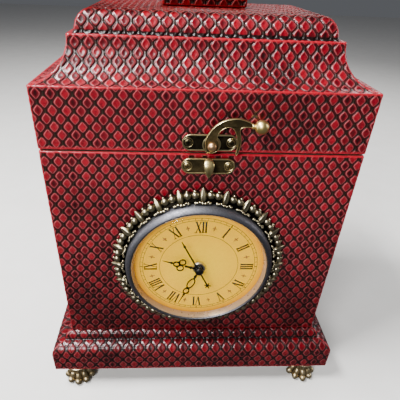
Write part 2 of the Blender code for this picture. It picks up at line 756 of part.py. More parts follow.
def gear_loop(teeth, module, phase, centre=(0, 0)):
    """Straight-flanked teeth with backlash. One tooth points along phase, in degrees."""
    pitch = module * teeth / 2
    tip, root = pitch + ADDENDUM * module, pitch - DEDENDUM * module
    step = 2 * math.pi / teeth
    points = []
    for i in range(teeth):
        middle = math.radians(phase) + i * step
        for share, radius in ((-0.30, root), (-0.09, tip), (0.09, tip), (0.30, root)):
            turn = middle + share * step
            points.append((centre[0] + radius * math.cos(turn), centre[1] + radius * math.sin(turn)))
    return points


def gear(name, teeth, distance, partner, phase, forward, centre=(0, 0), slot=None, thickness=1 * MM,
         bore=0):
    """A gear whose module makes it meet its partner at that distance."""
    module = 2 * distance / (teeth + partner)
    loop = gear_loop(teeth, module, phase)
    holes = [(0, 0, bore)] if bore else []
    return outline(name, loop, thickness, at_dial(forward - thickness / 2, *centre), slot, holes)


def arbor(name, centre, start, end, radius=ARBOR_R):
    return rod(name, at_dial(start, *centre), at_dial(end, *centre), radius)


def gap_phase(teeth, direction):
    """The phase that puts a gap between teeth at a direction, in degrees."""
    return direction + 180 / teeth


def wheel_train():
    """Rotor, fifth, second, third and centre wheels. Planes are millimetres in front of the leather."""
    rotor = gear("rotor", 6, ROTOR, 45, 200, -5.4 * MM, ROTOR_AT, "nylon", thickness=1.6 * MM)
    magnet = turned("magnet", in_mm((0, -6.8), (3, -6.8), (3, -9.5), (0, -9.5)),
                    at_dial(0, *ROTOR_AT), segments=16, closed=False)
    join(rotor, magnet, arbor("rotor_arbor", ROTOR_AT, -8 * MM, -11.3 * MM))
    fifth = gear("fifth_wheel", 45, ROTOR, 6, gap_phase(45, 20), -5.4 * MM, FIFTH_AT, "nylon")
    join(fifth, gear("fifth_pinion", 8, FIFTH, 32, 180, -3.6 * MM, FIFTH_AT, thickness=2.3 * MM),
         arbor("fifth_arbor", FIFTH_AT, -3.3 * MM, -11.3 * MM))
    second = gear("second_wheel", 32, FIFTH, 8, gap_phase(32, 0), -3.6 * MM, slot="nylon")
    join(second, gear("second_pinion", 6, TRAIN, 45, 75, -1.8 * MM, thickness=2.2 * MM),
         arbor("second_arbor", (0, 0), 10.2 * MM, -11.3 * MM, SECOND_R))
    third = gear("third_wheel", 45, TRAIN, 6, gap_phase(45, 255), -1.8 * MM, THIRD_AT, "nylon")
    join(third, gear("third_pinion", 6, TRAIN, 48, 255, -0.1 * MM, THIRD_AT, thickness=2.2 * MM),
         arbor("third_arbor", THIRD_AT, 4.1 * MM, -11.3 * MM))
    centre = gear("centre_wheel", 48, TRAIN, 6, gap_phase(48, 75), -0.1 * MM, slot="nylon")
    join(centre, gear("cannon_pinion", 10, MOTION, 30, 170, 1.3 * MM, thickness=1.9 * MM),
         arbor("minute_arbor", (0, 0), -1.0 * MM, 9.9 * MM, MINUTE_R[1]))
    cut(centre, arbor("minute_bore", (0, 0), -3 * MM, 14 * MM, MINUTE_R[0]))


def motion_work():
    motion = gear("motion_wheel", 30, MOTION, 10, gap_phase(30, -10), 1.3 * MM, MOTION_AT, "nylon")
    join(motion, gear("motion_pinion", 8, MOTION, 32, -10, 2.9 * MM, MOTION_AT, thickness=2.0 * MM),
         arbor("motion_arbor", MOTION_AT, 4.1 * MM, -13.0 * MM),
         turned("set_knob", in_mm((0, -12.2), (5.5, -12.2), (5.5, -14.4), (0, -14.4)),
                at_dial(0, *MOTION_AT), segments=16, closed=False))
    hour = gear("hour_wheel", 32, MOTION, 8, gap_phase(32, 170), 2.9 * MM, slot="nylon")
    join(hour, arbor("hour_tube", (0, 0), 2.0 * MM, 8.9 * MM, HOUR_R[1]))
    cut(hour, arbor("hour_bore", (0, 0), 0, 14 * MM, HOUR_R[0]))


BATTERY_Z = -19.3 * MM
BATTERY_R = 7.0 * MM


def movement_case():
    """A tray behind the dial with a bush round the shafts, closed by a cover over the wheels."""
    half = MOVEMENT / 2
    inner = half - CASE_WALL
    front, back = FRONT - MOVEMENT_FRONT, FRONT - MOVEMENT_BACK
    case = box("movement_case", (-half, half), (front, back - CASE_WALL - GAP),
               (DIAL_Z - half, DIAL_Z + half), "black_plastic")
    hollow = box("movement_hollow", (-inner, inner), (front + CASE_WALL, back + 5 * MM),
                 (DIAL_Z - inner, DIAL_Z + inner))
    bush = arbor("bush", (0, 0), MOVEMENT_FRONT - CASE_WALL / 2, 7.9 * MM, BUSH_R[1])
    bore = arbor("bush_bore", (0, 0), 0, 14 * MM, BUSH_R[0])
    cut(case, hollow)
    join(case, bush)
    cut(case, bore)
    for name, place in (("third", THIRD_AT), ("motion", MOTION_AT)):
        cut(case, arbor(f"{name}_front_pivot", place, 0, 8 * MM, ARBOR_R + PIVOT_PLAY))
    rail = back - CASE_WALL
    cover = box("movement_cover", (-half, half), (rail, back),
                (DIAL_Z - 11.0 * MM, DIAL_Z + half), "black_plastic")
    for name, place in (("rotor", ROTOR_AT), ("fifth", FIFTH_AT), ("second", (0, 0)),
                        ("third", THIRD_AT), ("motion", MOTION_AT)):
        hole = arbor(f"{name}_rear_pivot", place, -9 * MM, -14 * MM, ARBOR_R + PIVOT_PLAY)
        cut(cover, hole)
    box("coil", (-2 * MM, 22 * MM), (FRONT + 4.4 * MM, FRONT + 10.0 * MM),
        (DIAL_Z + 18 * MM, DIAL_Z + 25.5 * MM), "copper", bevel=2 * MM)
    length = 50.5 * MM
    cell = in_mm((0, 50.5), (2.6, 50.5), (2.6, 49.4), (7.0, 49.2), (7.0, 0), (0, 0))
    battery = turned("battery", cell, (-length / 2, FRONT + 3.8 * MM, DIAL_Z + BATTERY_Z), "cell",
                     segments=20, closed=False)
    battery.rotation_euler = (0, math.pi / 2, 0)


def hang_lid():
    """Parents the lid's fixed pieces to an empty on the hinge's axis."""
    axis = bpy.data.objects.new("lid_axis", None)
    bpy.context.scene.collection.objects.link(axis)
    axis.location = (0, HINGE_Y, Z_SEAM)
    bpy.context.view_layer.update()
    for obj in list(bpy.data.collections[PARTS].objects):
        if obj.name.startswith(LID_PIECES) and obj.parent is None:
            obj.parent = axis
            obj.matrix_parent_inverse = axis.matrix_world.inverted()


def main():
    clear_scene()
    front, rear = case_boards()
    skin = case_cover()
    opening = turned("dial_opening", in_mm((0, 5), (HOLE_R, 5), (HOLE_R, -9), (0, -9)), at_dial(),
                     closed=False)
    cut(front, opening)
    cut(skin, opening)
    case_lining()
    plinth()
    for side, across in ((-1, "left"), (1, "right")):
        for end, along in ((-1, "front"), (1, "rear")):
            foot(f"foot_{along}_{across}", side, end)
    lid_cover_, lid_top_ = lid()
    lid_frame_ = bpy.data.objects["lid_frame"]
    handle(lid_cover_, lid_top_)
    rear_hinge(skin, rear, lid_cover_, lid_frame_)
    latch(skin, front, lid_cover_, lid_frame_)
    clock_front()
    hands()
    wheel_train()
    motion_work()
    movement_case()
    hang_lid()


main()
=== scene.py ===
"""The clock box's looks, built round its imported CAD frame. Metres, +Z up, the clock faces -Y."""

import math

import bmesh
import bpy
import numpy as np
from mathutils import Matrix, Vector
from mathutils.geometry import tessellate_polygon


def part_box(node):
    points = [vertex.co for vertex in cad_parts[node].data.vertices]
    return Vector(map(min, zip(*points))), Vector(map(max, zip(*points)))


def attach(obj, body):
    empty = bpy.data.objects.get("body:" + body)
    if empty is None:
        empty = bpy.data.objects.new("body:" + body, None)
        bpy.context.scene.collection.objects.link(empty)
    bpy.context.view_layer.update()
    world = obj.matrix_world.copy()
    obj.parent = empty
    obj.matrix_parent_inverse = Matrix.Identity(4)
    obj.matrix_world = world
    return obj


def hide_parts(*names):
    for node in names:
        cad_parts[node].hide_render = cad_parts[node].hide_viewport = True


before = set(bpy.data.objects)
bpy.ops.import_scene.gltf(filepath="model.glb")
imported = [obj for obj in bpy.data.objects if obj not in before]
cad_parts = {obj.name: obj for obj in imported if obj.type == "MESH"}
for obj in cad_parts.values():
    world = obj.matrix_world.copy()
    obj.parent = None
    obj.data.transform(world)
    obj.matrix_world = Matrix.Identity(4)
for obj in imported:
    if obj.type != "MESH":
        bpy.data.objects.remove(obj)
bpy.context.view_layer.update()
MM = 0.001

# Places read from the frame. The corners and SHAFT are in metres, and the rest is in mm.
CASE_LOW, CASE_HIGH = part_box("case_cover")
LID_LOW, LID_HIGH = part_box("lid_cover")
PLINTH_LOW, PLINTH_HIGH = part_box("plinth_cover")
DIAL_LOW, DIAL_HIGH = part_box("dial")
HALF_W, HALF_D = CASE_HIGH.x / MM, CASE_HIGH.y / MM
FRONT = CASE_LOW.y / MM
DIAL_Z = (DIAL_LOW.z + DIAL_HIGH.z) / 2 / MM
SHAFT = Vector((0, CASE_LOW.y, DIAL_Z * MM))
CLOCK = np.array((0, FRONT, DIAL_Z))  # where the shaft meets the leather


def middle(node):
    """The x and z of the middle of a node's box, in mm."""
    low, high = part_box(node)
    return (low.x + high.x) / 2 / MM, (low.z + high.z) / 2 / MM


def rgb(red, green, blue):
    """An sRGB colour of 0 to 255 as linear light."""
    def linear(value):
        value /= 255
        return value / 12.92 if value <= 0.04045 else ((value + 0.055) / 1.055) ** 2.4
    return (linear(red), linear(green), linear(blue), 1)


def linked(name, data):
    """A new object in the scene."""
    obj = bpy.data.objects.new(name, data)
    bpy.context.scene.collection.objects.link(obj)
    return obj


def shade(colour, by):
    """The colour made darker, or brighter where by is over 1."""
    return tuple(by * c for c in colour[:3]) + (1,)


# Materials.


class Shader:
    """A Principled material with short calls for the nodes that feed it."""

    def __init__(self, name, **values):
        self.material = bpy.data.materials.new(name)
        self.material.use_nodes = True
        self.tree = self.material.node_tree
        self.surface = self.tree.nodes["Principled BSDF"]
        for key, value in values.items():
            self.set(key.replace("_", " "), value)

    def set(self, name, value, node=None):
        socket = (node or self.surface).inputs[name]
        if isinstance(value, bpy.types.NodeSocket):
            self.tree.links.new(value, socket)
        else:
            socket.default_value = value

    def put(self, kind, settings=None, places=None, **inputs):
        """A new node. places are its inputs by number, and inputs are those by name."""
        node = self.tree.nodes.new("ShaderNode" + kind)
        for key, value in (settings or {}).items():
            setattr(node, key, value)
        for index, value in (places or {}).items():
            self.set(index, value, node)
        for key, value in inputs.items():
            self.set(key.replace("_", " "), value, node)
        return node

    def math(self, operation, *values):
        return self.put("Math", {"operation": operation}, dict(enumerate(values))).outputs[0]

    def vector(self, operation, *values):
        return self.put("VectorMath", {"operation": operation}, dict(enumerate(values))).outputs

    def mix(self, factor, first, second, blend="MIX"):
        """A mix of two colours."""
        settings = {"data_type": "RGBA", "blend_type": blend}
        return self.put("Mix", settings, {0: factor, 6: first, 7: second}).outputs[2]

    def between(self, factor, first, second):
        """A mix of two numbers."""
        return self.put("Mix", {}, {0: factor, 2: first, 3: second}).outputs[0]

    def step(self, value, low, high, to_low=0.0, to_high=1.0):
        """A smooth step, clamped. low may be above high."""
        if low > high:
            low, high, to_low, to_high = high, low, to_high, to_low
        places = dict(enumerate((value, low, high, to_low, to_high)))
        return self.put("MapRange", {"interpolation_type": "SMOOTHSTEP"}, places).outputs[0]

    def attribute(self, name):
        return self.put("Attribute", {"attribute_name": name}).outputs["Fac"]

    def coords(self):
        return self.put("TexCoord").outputs["Object"]

    def noise(self, scale, detail=3.0, distortion=0.0):
        return self.put("TexNoise", Vector=self.coords(), Scale=scale, Detail=detail,
                        Distortion=distortion).outputs["Fac"]

    def bump(self, height, strength, distance=0.0003):
        node = self.put("Bump", Height=height, Strength=strength, Distance=distance)
        self.set("Normal", node.outputs["Normal"])

    def finish(self, colour, roughness):
        """Sets the colour and the roughness, and gives the material."""
        self.set("Base Color", colour)
        self.set("Roughness", roughness)
        return self.material


PITCH = 7.35  # mm between neighbouring cells in a row
PERIOD = 9.2  # mm between rows that line up, with one offset row between them
CELL_REACH = 0.402  # of a pitch sideways and of a period upward, where a cell's edges would meet
CELL_WAIST, CELL_ROUND = 0.342, 0.12  # its half width, and how softly its sides turn
STEM, STEM_ROUND = 0.02, 0.06
TIP_START, TIP_END = 0.26, 0.38  # its foot is rounded off here, and the stem below ends
SLANT = 0.78  # a cell's edge is nearer than the distance along its row


def cell_nodes(s, across, along, offset):
    """How far inside its cell a place is in mm, whether it is on a stem, and the cell's own numbers."""
    cell_x = s.math("FLOOR", s.math("ADD", across, 0.5 - offset))
    cell_y = s.math("FLOOR", s.math("ADD", along, 0.5 - offset))
    x = s.math("ABSOLUTE", s.math("SUBTRACT", s.math("SUBTRACT", across, offset), cell_x))
    y = s.math("SUBTRACT", s.math("SUBTRACT", along, offset), cell_y)
    far = s.math("ABSOLUTE", y)
    body = s.math("SMOOTH_MIN", s.math("SUBTRACT", CELL_REACH, far), CELL_WAIST, CELL_ROUND)
    above = s.math("SMOOTH_MAX", body, STEM, STEM_ROUND)
    below = s.math("MULTIPLY", body, s.step(far, TIP_END, TIP_START))
    below = s.math("MAXIMUM", below, s.step(far, TIP_END, TIP_END + 0.05, 0, STEM))
    wide = s.between(s.math("GREATER_THAN", y, 0), below, above)
    reach = s.math("MULTIPLY", s.math("SUBTRACT", wide, x), PITCH * SLANT)
    stem = s.math("ADD", s.step(y, 0.27, 0.36), s.step(y, -0.36, -0.40))
    return reach, stem, s.put("CombineXYZ", X=cell_x, Y=cell_y, Z=offset).outputs[0]


def pattern_nodes(s):
    """The reach inside the nearest cell in mm, whether it is on a stem, and the cell's own chance."""
    uv = s.put("UVMap", {"uv_map": "skin"}).outputs["UV"]
    u, v, _ = s.put("SeparateXYZ", Vector=uv).outputs
    across, along = s.math("DIVIDE", u, PITCH), s.math("DIVIDE", v, PERIOD)
    first, first_stem, first_cell = cell_nodes(s, across, along, 0.0)
    second, second_stem, second_cell = cell_nodes(s, across, along, 0.5)
    nearer = s.math("GREATER_THAN", second, first)
    cell = s.put("Mix", {"data_type": "VECTOR"}, {0: nearer, 4: first_cell, 5: second_cell}).outputs[1]
    chance = s.put("TexWhiteNoise", {"noise_dimensions": "3D"}, Vector=cell).outputs[0]
    return s.math("MAXIMUM", first, second), s.between(nearer, first_stem, second_stem), chance


def leather_paint(s, edge, stem, chance, hem_and_crease_shade, up):
    """Red cells with dark spots and paler rims that are a painted highlight, over dark grooves with a painted
    shade line round each cell, and olive stems.
    """
    blotch = s.noise(24, 3)
    heart = s.mix(chance, rgb(132, 1, 24), rgb(86, 0, 14))
    heart = s.mix(s.step(s.noise(620, 3), 0.42, 0.68, 0.0, 0.6), heart, rgb(66, 4, 10))
    gloom = s.math("ADD", s.math("MULTIPLY", chance, 0.7), s.math("MULTIPLY", blotch, 0.8))
    spot = s.math("MULTIPLY", s.step(gloom, 0.66, 1.08), s.step(edge, 0.8, 1.5, 0.0, 0.85))
    heart = s.mix(spot, heart, rgb(22, 2, 4))
    # The paler pink rim colour is a painted highlight along each cell's rim.
    body = s.mix(s.step(edge, 0.25, 0.80), rgb(142, 62, 66), heart)
    body = s.mix(s.step(edge, 0.0, 0.28), rgb(80, 6, 14), body)
    groove = s.mix(s.step(edge, -0.9, -0.5), rgb(18, 17, 8), rgb(62, 8, 12))
    # The near-black line just outside each cell is painted shade.
    groove = s.mix(s.step(edge, -0.26, -0.10), groove, rgb(22, 4, 4))
    paint = s.mix(s.step(edge, -0.14, 0.10), groove, body)
    olive = s.mix(s.step(edge, -0.26, 0.14), rgb(20, 12, 7), rgb(42, 28, 18))
    paint = s.mix(stem, paint, olive)
    paint = s.mix(s.step(blotch, 0.46, 0.74, 0.0, 0.55), paint, rgb(92, 30, 26), "MULTIPLY")
    paint = s.mix(hem_and_crease_shade, paint, rgb(150, 8, 30))
    # Where the attribute is below 0, in a hollow corner, the colour is darkened to near black as painted
    # shade.
    paint = s.mix(s.math("MULTIPLY", hem_and_crease_shade, -1.0), paint, rgb(20, 6, 5))
    # Painted shade: the leather's colour is darkened towards the bottom, below 0.15 m up.
    painted_low_shade = s.mix(s.step(up, 0.05, 0.15), rgb(198, 178, 180), rgb(255, 255, 255))
    paint = s.mix(1.0, paint, painted_low_shade, "MULTIPLY")
    # Painted light: above 0.12 m up the colour is mixed towards a lighter dodge of itself.
    painted_top_light = s.mix(1.0, paint, rgb(120, 104, 104), "DODGE")
    return s.mix(s.step(up, 0.12, 0.22, 0.0, 0.35), paint, painted_top_light)


def leather():
    """Red embossed drops, each with a stem up to the next, over antiqued grooves.

    The UV map holds the surface's own millimetres. A point attribute is 1 where it is plain, and below 0
    in a hollow corner, where the colour is darkened as painted shade. The lid's top is darker and less glossy
    than the rest.
    """
    s = Shader("embossed_leather", Coat_Roughness=0.18)
    reach, stem, chance = pattern_nodes(s)
    hem_and_crease_shade = s.attribute("hem_and_crease_shade")
    edge = s.math("ADD", reach, s.math("MULTIPLY", s.math("SUBTRACT", s.noise(1100, 2), 0.5), 0.5))
    up = s.put("SeparateXYZ", Vector=s.coords()).outputs[2]
    paint = leather_paint(s, edge, stem, chance, hem_and_crease_shade, up)
    top = (LID_HIGH.z - 0.002, LID_HIGH.z - 0.0005)
    shaded = s.mix(1.0, paint, rgb(178, 140, 128), "MULTIPLY")
    s.set("Specular IOR Level", s.step(up, *top, 0.15, 0.05))
    s.set("Coat Weight", s.step(up, *top, 0.5, 0.05))
    dish = s.step(edge, 0.55, 1.4, 0.0, 0.24)
    grain = s.math("MULTIPLY", s.noise(2400, 3), 0.10)
    height = s.math("ADD", s.math("SUBTRACT", s.step(edge, -0.35, 0.40), dish), grain)
    s.bump(s.between(hem_and_crease_shade, height, grain), 0.55, 0.00045)
    return s.finish(s.mix(s.step(up, *top), paint, shaded), s.step(edge, -0.2, 0.3, 0.50, 0.34))


def antique(name, bright, middle, dark, roughness=0.34, scale=260.0, shaped=False, limits=(0.35, 0.75)):
    """Plated metal, dark in its hollows and rubbed bright on its edges.

    The worn attribute says where it is rubbed or, if shaped, the surface's own edges do.
    """
    s = Shader(name, Metallic=1.0)
    if shaped:
        point = s.put("NewGeometry").outputs["Pointiness"]
        worn = s.math("MULTIPLY_ADD", s.math("SUBTRACT", point, 0.5), 9.0, 0.5)
    else:
        worn = s.attribute("worn")
    patches = s.math("MULTIPLY", s.math("SUBTRACT", s.noise(scale, 4), 0.5), 0.5)
    level = s.math("ADD", worn, patches)
    half = (limits[0] + limits[1]) / 2
    body = s.mix(s.step(level, limits[0] - 0.2, half), dark, middle)
    s.bump(s.noise(scale * 5, 3), 0.10, 0.0001)
    return s.finish(s.mix(s.step(level, half, limits[1] + 0.1), body, bright),
                    s.step(level, 0.1, 0.9, roughness + 0.16, roughness - 0.06))


def metal(name, colour, roughness, grain=900.0):
    s = Shader(name, Metallic=1.0)
    wear = s.noise(grain, 4)
    s.bump(s.noise(grain * 3, 2), 0.05, 0.00005)
    return s.finish(s.mix(s.step(wear, 0.35, 0.7), colour, shade(colour, 0.7)),
                    s.step(wear, 0.3, 0.7, roughness, roughness + 0.12))


def moulded(name, colour, roughness=0.5, grain=1400.0, **values):
    """Moulded plastic or lacquer with a fine grain."""
    s = Shader(name, **values)
    mottle = s.noise(grain / 6, 3)
    s.bump(s.noise(grain, 2), 0.12, 0.00006)
    return s.finish(s.mix(mottle, colour, shade(colour, 0.75)),
                    s.step(mottle, 0.3, 0.7, roughness - 0.06, roughness + 0.06))


def felt():
    s = Shader("black_felt", Sheen_Weight=0.2)
    fibre = s.noise(1500, 6, 1.5)
    s.bump(fibre, 0.7, 0.0004)
    return s.finish(s.mix(fibre, rgb(12, 11, 12), rgb(46, 42, 42)), 0.95)


def fibreboard():
    s = Shader("fibreboard")
    fibre = s.noise(700, 5, 0.8)
    s.bump(fibre, 0.3)
    return s.finish(s.mix(fibre, rgb(58, 42, 32), rgb(84, 64, 48)), 0.85)


def dial_paint():
    """Gold in the middle, more orange towards the edge as painted shade, with a fine printed grain."""
    s = Shader("dial_paint", Specular_IOR_Level=0.1)
    place = s.vector("SUBTRACT", s.coords(), tuple(SHAFT))[0]
    flat = s.vector("MULTIPLY", place, (1, 0, 1))[0]
    radius = s.math("DIVIDE", s.vector("LENGTH", flat)["Value"], MM)
    grain = s.noise(500, 3)
    radius = s.math("ADD", radius, s.math("MULTIPLY", grain, 2.0))
    inner = s.mix(s.step(radius, 6, 30), rgb(240, 190, 0), rgb(236, 178, 0))
    # The more orange edge from 37 mm out is painted shade.
    outer = s.mix(s.step(radius, 37, 43), inner, rgb(226, 152, 2))
    s.bump(s.noise(1800, 2), 0.08, 0.00004)
    return s.finish(s.mix(s.step(grain, 0.4, 0.8, 0.0, 0.10), outer, rgb(190, 122, 4)), 0.42)


def ink(name, colour):
    s = Shader(name)
    return s.finish(s.mix(s.noise(2200, 2), colour, shade(colour, 1.6)), 0.55)


def clear_glass():
    """Thin clear glass: light goes straight through, less what it mirrors."""
    s = Shader("clear_glass")
    smudge = s.step(s.noise(90, 3), 0.4, 0.75, 0.02, 0.08)
    mirror = s.put("BsdfAnisotropic", Color=(1, 1, 1, 1), Roughness=smudge).outputs[0]
    clear = s.put("BsdfTransparent", Color=(0.98, 0.985, 0.98, 1)).outputs[0]
    front = s.math("SUBTRACT", 1, s.put("NewGeometry").outputs["Backfacing"])
    share = s.math("MULTIPLY", s.put("Fresnel", IOR=1.45).outputs[0], s.math("MULTIPLY", front, 0.45))
    blend = s.put("MixShader", {}, {0: share, 1: clear, 2: mirror})
    s.set("Surface", blend.outputs[0], s.tree.nodes["Material Output"])
    s.tree.nodes.remove(s.surface)
    return s.material


LEATHER = leather()
OLD_BRASS = antique("old_brass", rgb(226, 206, 146), rgb(164, 142, 94), rgb(74, 64, 44), 0.38)
DARK_BRASS = antique("dark_brass", rgb(214, 196, 144), rgb(92, 82, 60), rgb(30, 27, 22), 0.38)
SHAPED_BRASS = antique("shaped_brass", rgb(206, 188, 128), rgb(132, 114, 74), rgb(54, 46, 34), shaped=True)
BALL_BRASS = antique("ball_brass", rgb(250, 226, 150), rgb(228, 198, 118), rgb(150, 126, 70), 0.36)
RIVET_BRASS = antique("rivet_brass", rgb(244, 204, 156), rgb(206, 160, 110), rgb(120, 88, 58), 0.38)
OLD_SILVER = antique("old_silver", rgb(190, 178, 144), rgb(104, 95, 72), rgb(18, 16, 12), 0.36, 420.0,
                     limits=(0.40, 0.95))
PAW_BRASS = antique("paw_brass", rgb(240, 224, 186), rgb(182, 160, 118), rgb(66, 52, 38), 0.42, 300.0,
                    shaped=True)
GUNMETAL = metal("gunmetal", rgb(106, 106, 112), 0.44)
PALE_METAL = moulded("pale_metal", rgb(184, 160, 134), 0.32, Metallic=0.55)
STEEL = metal("steel", rgb(216, 216, 220), 0.30)
COPPER = metal("copper", rgb(190, 104, 62), 0.35)
DIAL = dial_paint()
BLACK_INK = ink("black_ink", rgb(20, 15, 11))
BROWN_INK = ink("brown_ink", rgb(128, 74, 36))
HAND_BLACK = moulded("hand_black", rgb(9, 8, 7), 0.42, Specular_IOR_Level=0.3)
BLACK_PLASTIC = moulded("black_plastic", rgb(26, 26, 28))
NYLON = moulded("nylon", rgb(214, 212, 200), 0.45)
CELL = moulded("cell_wrap", rgb(60, 96, 70), 0.35)
FELT = felt()
BOARD = fibreboard()
GLASS = clear_glass()


# Mesh helpers.


def piece(name, mesh, material, body, replaces=(), slot=None, sharp=None):
    """A finished piece of the object, riding on a body. Its edges over sharp degrees stay sharp."""
    obj = linked(name, mesh)
    mesh.materials.clear()
    mesh.materials.append(material)
    mesh.shade_smooth()
    if sharp:
        mesh.set_sharp_from_angle(angle=math.radians(sharp))
    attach(obj, body)
    if replaces:
        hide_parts(*replaces)
    return obj


def quads_of(index, wrap_rows, wrap_columns=True):
    """Faces between the rows and columns of an array of point numbers."""
    if wrap_columns:
        index = np.concatenate([index, index[:, :1]], axis=1)
    if wrap_rows:
        index = np.concatenate([index, index[:1]], axis=0)
    quads = np.stack([index[:-1, :-1], index[:-1, 1:], index[1:, 1:], index[1:, :-1]], axis=-1)
    return quads.reshape(-1, 4).tolist()


def grid_mesh(name, points, wrap_columns=True, wrap_rows=False, uv=None):
    """A mesh from an array of points with rows and columns. uv has one more column where columns wrap."""
    rows, columns = points.shape[:2]
    quads = quads_of(np.arange(rows * columns).reshape(rows, columns), wrap_rows, wrap_columns)
    mesh = bpy.data.meshes.new(name)
    mesh.from_pydata(points.reshape(-1, 3).tolist(), [], quads)
    if uv is not None:
        if wrap_rows:
            uv = np.concatenate([uv, uv[:1]], axis=0)
        corners = np.stack([uv[:-1, :-1], uv[:-1, 1:], uv[1:, 1:], uv[1:, :-1]], axis=2)
        layer = mesh.uv_layers.new(name="skin")
        layer.data.foreach_set("uv", corners.reshape(-1).astype(np.float32))
    mesh.update()
    return mesh


def outward(mesh, weld=False):
    """The mesh with its faces turned out and, if weld, its coinciding points made one."""
    bm = bmesh.new()
    bm.from_mesh(mesh)
    if weld:
        bmesh.ops.remove_doubles(bm, verts=bm.verts, dist=1e-7)
    bmesh.ops.recalc_face_normals(bm, faces=bm.faces)
    bm.to_mesh(mesh)
    bm.free()
    return mesh


def apply_modifiers(obj):
    """Puts the modifiers' result in the object, and leaves no modifier."""
    bpy.context.view_layer.update()
    graph = bpy.context.evaluated_depsgraph_get()
    mesh = bpy.data.meshes.new_from_object(obj.evaluated_get(graph), preserve_all_data_layers=True,
                                           depsgraph=graph)
    obj.modifiers.clear()
    obj.data = mesh


class Solid:
    """Closed shapes gathered into one mesh. Each is rows of points in metres, wrapped round its columns."""

    def __init__(self):
        self.points, self.faces, self.worn, self.count = [], [], [], 0

    def add(self, rows, ring=False, worn=0.5, caps=None):
        """Rows whose first and last are capped, by caps' triangles if given, or joined in a ring."""
        count, columns = rows.shape[:2]
        index = np.arange(count * columns).reshape(count, columns) + self.count
        self.faces += quads_of(index, ring)
        if caps:
            for row in (index[0], index[-1]):
                self.faces += [[int(row[i]) for i in triangle] for triangle in caps]
        elif not ring:
            self.faces += [index[0].tolist(), index[-1][::-1].tolist()]
        self.points.append(rows.reshape(-1, 3))
        self.worn.append(np.broadcast_to(worn, (count, columns)).reshape(-1))
        self.count += count * columns
        return self

    def mesh(self, name):
        mesh = bpy.data.meshes.new(name)
        mesh.from_pydata(np.concatenate(self.points).tolist(), [], self.faces)
        layer = mesh.attributes.new("worn", "FLOAT", "POINT")
        layer.data.foreach_set("value", np.concatenate(self.worn).astype(np.float32))
        return outward(mesh)

    def piece(self, name, *details):
        return piece(name, self.mesh(name), *details)


def round_turn(steps):
    return np.linspace(0, 2 * math.pi, steps, endpoint=False)


def ellipsoid(centre, pole, second, third, rings=9, segments=14):
    """Rows of an ellipsoid in mm by its three half axes."""
    turn = round_turn(segments)[None, :, None]
    lean = np.linspace(0.05, math.pi - 0.05, rings)[:, None, None]
    side = np.cos(turn) * second + np.sin(turn) * third
    return (centre + np.cos(lean) * pole + np.sin(lean) * side) * MM


def lathe(profile, centre, axis="-Y", steps=48):
    """Rows of a profile of (radius, distance along the axis) in mm about a centre in mm."""
    turn = round_turn(steps)[None, :]
    profile = np.array(profile, float)
    radius, along = profile[:, 0][:, None], profile[:, 1][:, None] + 0 * turn
    first, second = radius * np.cos(turn), radius * np.sin(turn)
    parts = {"X": (along, first, second), "-Y": (first, -along, second), "Z": (first, second, along)}
    return (np.stack(parts[axis], axis=-1) + centre) * MM


def lathe_mesh(name, profile, closed=True, steps=160):
    """A profile turned about the shaft. One that isn't closed begins and ends at the shaft's axis."""
    mesh = grid_mesh(name, lathe(profile, CLOCK, steps=steps), wrap_rows=closed)
    return outward(mesh, weld=not closed)


def directions(points, cyclic=False):
    """At each place on a line, the direction ahead and the one to its left."""
    points = np.asarray(points, float)
    if cyclic:
        ahead = np.roll(points, -1, axis=0) - np.roll(points, 1, axis=0)
    else:
        ahead = np.gradient(points, axis=0)
    ahead /= np.hypot(*ahead.T)[:, None]
    return ahead, np.stack([-ahead[:, 1], ahead[:, 0]], axis=1)


def strip(points, widths, low, high, place, cyclic=False):
    """Rows of a flat bar along a line of (side, along) in mm, laid by place between two levels."""
    points = np.array(points, float)
    side = directions(points, cyclic)[1] * np.broadcast_to(widths, len(points))[:, None] / 2
    rows = [[place(*left, low), place(*right, low), place(*right, high), place(*left, high)]
            for left, right in zip(points - side, points + side)]
    return np.array(rows) * MM


def smooth(x, low, high):
    t = np.clip((np.asarray(x, float) - low) / (high - low), 0, 1)
    return t * t * (3 - 2 * t)


def arc(centre, radii, start, end, steps):
    turns = np.radians(np.linspace(start, end, steps + 1))
    return [(centre[0] + radii[0] * math.cos(t), centre[1] + radii[1] * math.sin(t)) for t in turns]


# Leather skins: a profile of (inset, height) run round a rectangle, then embossed.

RELIEF = 0.75  # mm from the cells' rims down to the grooves
EDGE_WEAR = 0.8  # how much of the emboss is pressed flat along the sharp edges
SHARP = (0.3, 0.7)  # radians a mm: a bend begins to count as a sharp corner, and fully does
SHY = 0.02  # mm from the CAD's surface in to the cells' rims
SKIN = 1.0  # mm of leather
BACK_STEP = 4  # mm between rows of a skin's plain back
EDGE_ROUND = 1.1  # mm at the upright corners
DRAWN_HEIGHTS, DRAWN_WIDTHS = (45, 207), (1.095, 0.975)


def soft_least(a, b, turn):
    """The lesser of two, with the corner between them rounded."""
    near = np.clip(turn - np.abs(a - b), 0, None) / turn
    return np.minimum(a, b) - near ** 3 * turn / 6


def cell_reach(x, y):
    """How far inside its cell a place is, in mm, from its place in pitches and periods."""
    x, y = x - np.floor(x + 0.5), y - np.floor(y + 0.5)
    far = np.abs(y)
    body = soft_least(CELL_REACH - far, CELL_WAIST, CELL_ROUND)
    above = -soft_least(-body, -STEM, STEM_ROUND)
    below = body * (1 - smooth(far, TIP_START, TIP_END))
    below = np.maximum(below, STEM * smooth(far, TIP_END, TIP_END + 0.05))
    return (np.where(y > 0, above, below) - np.abs(x)) * PITCH * SLANT


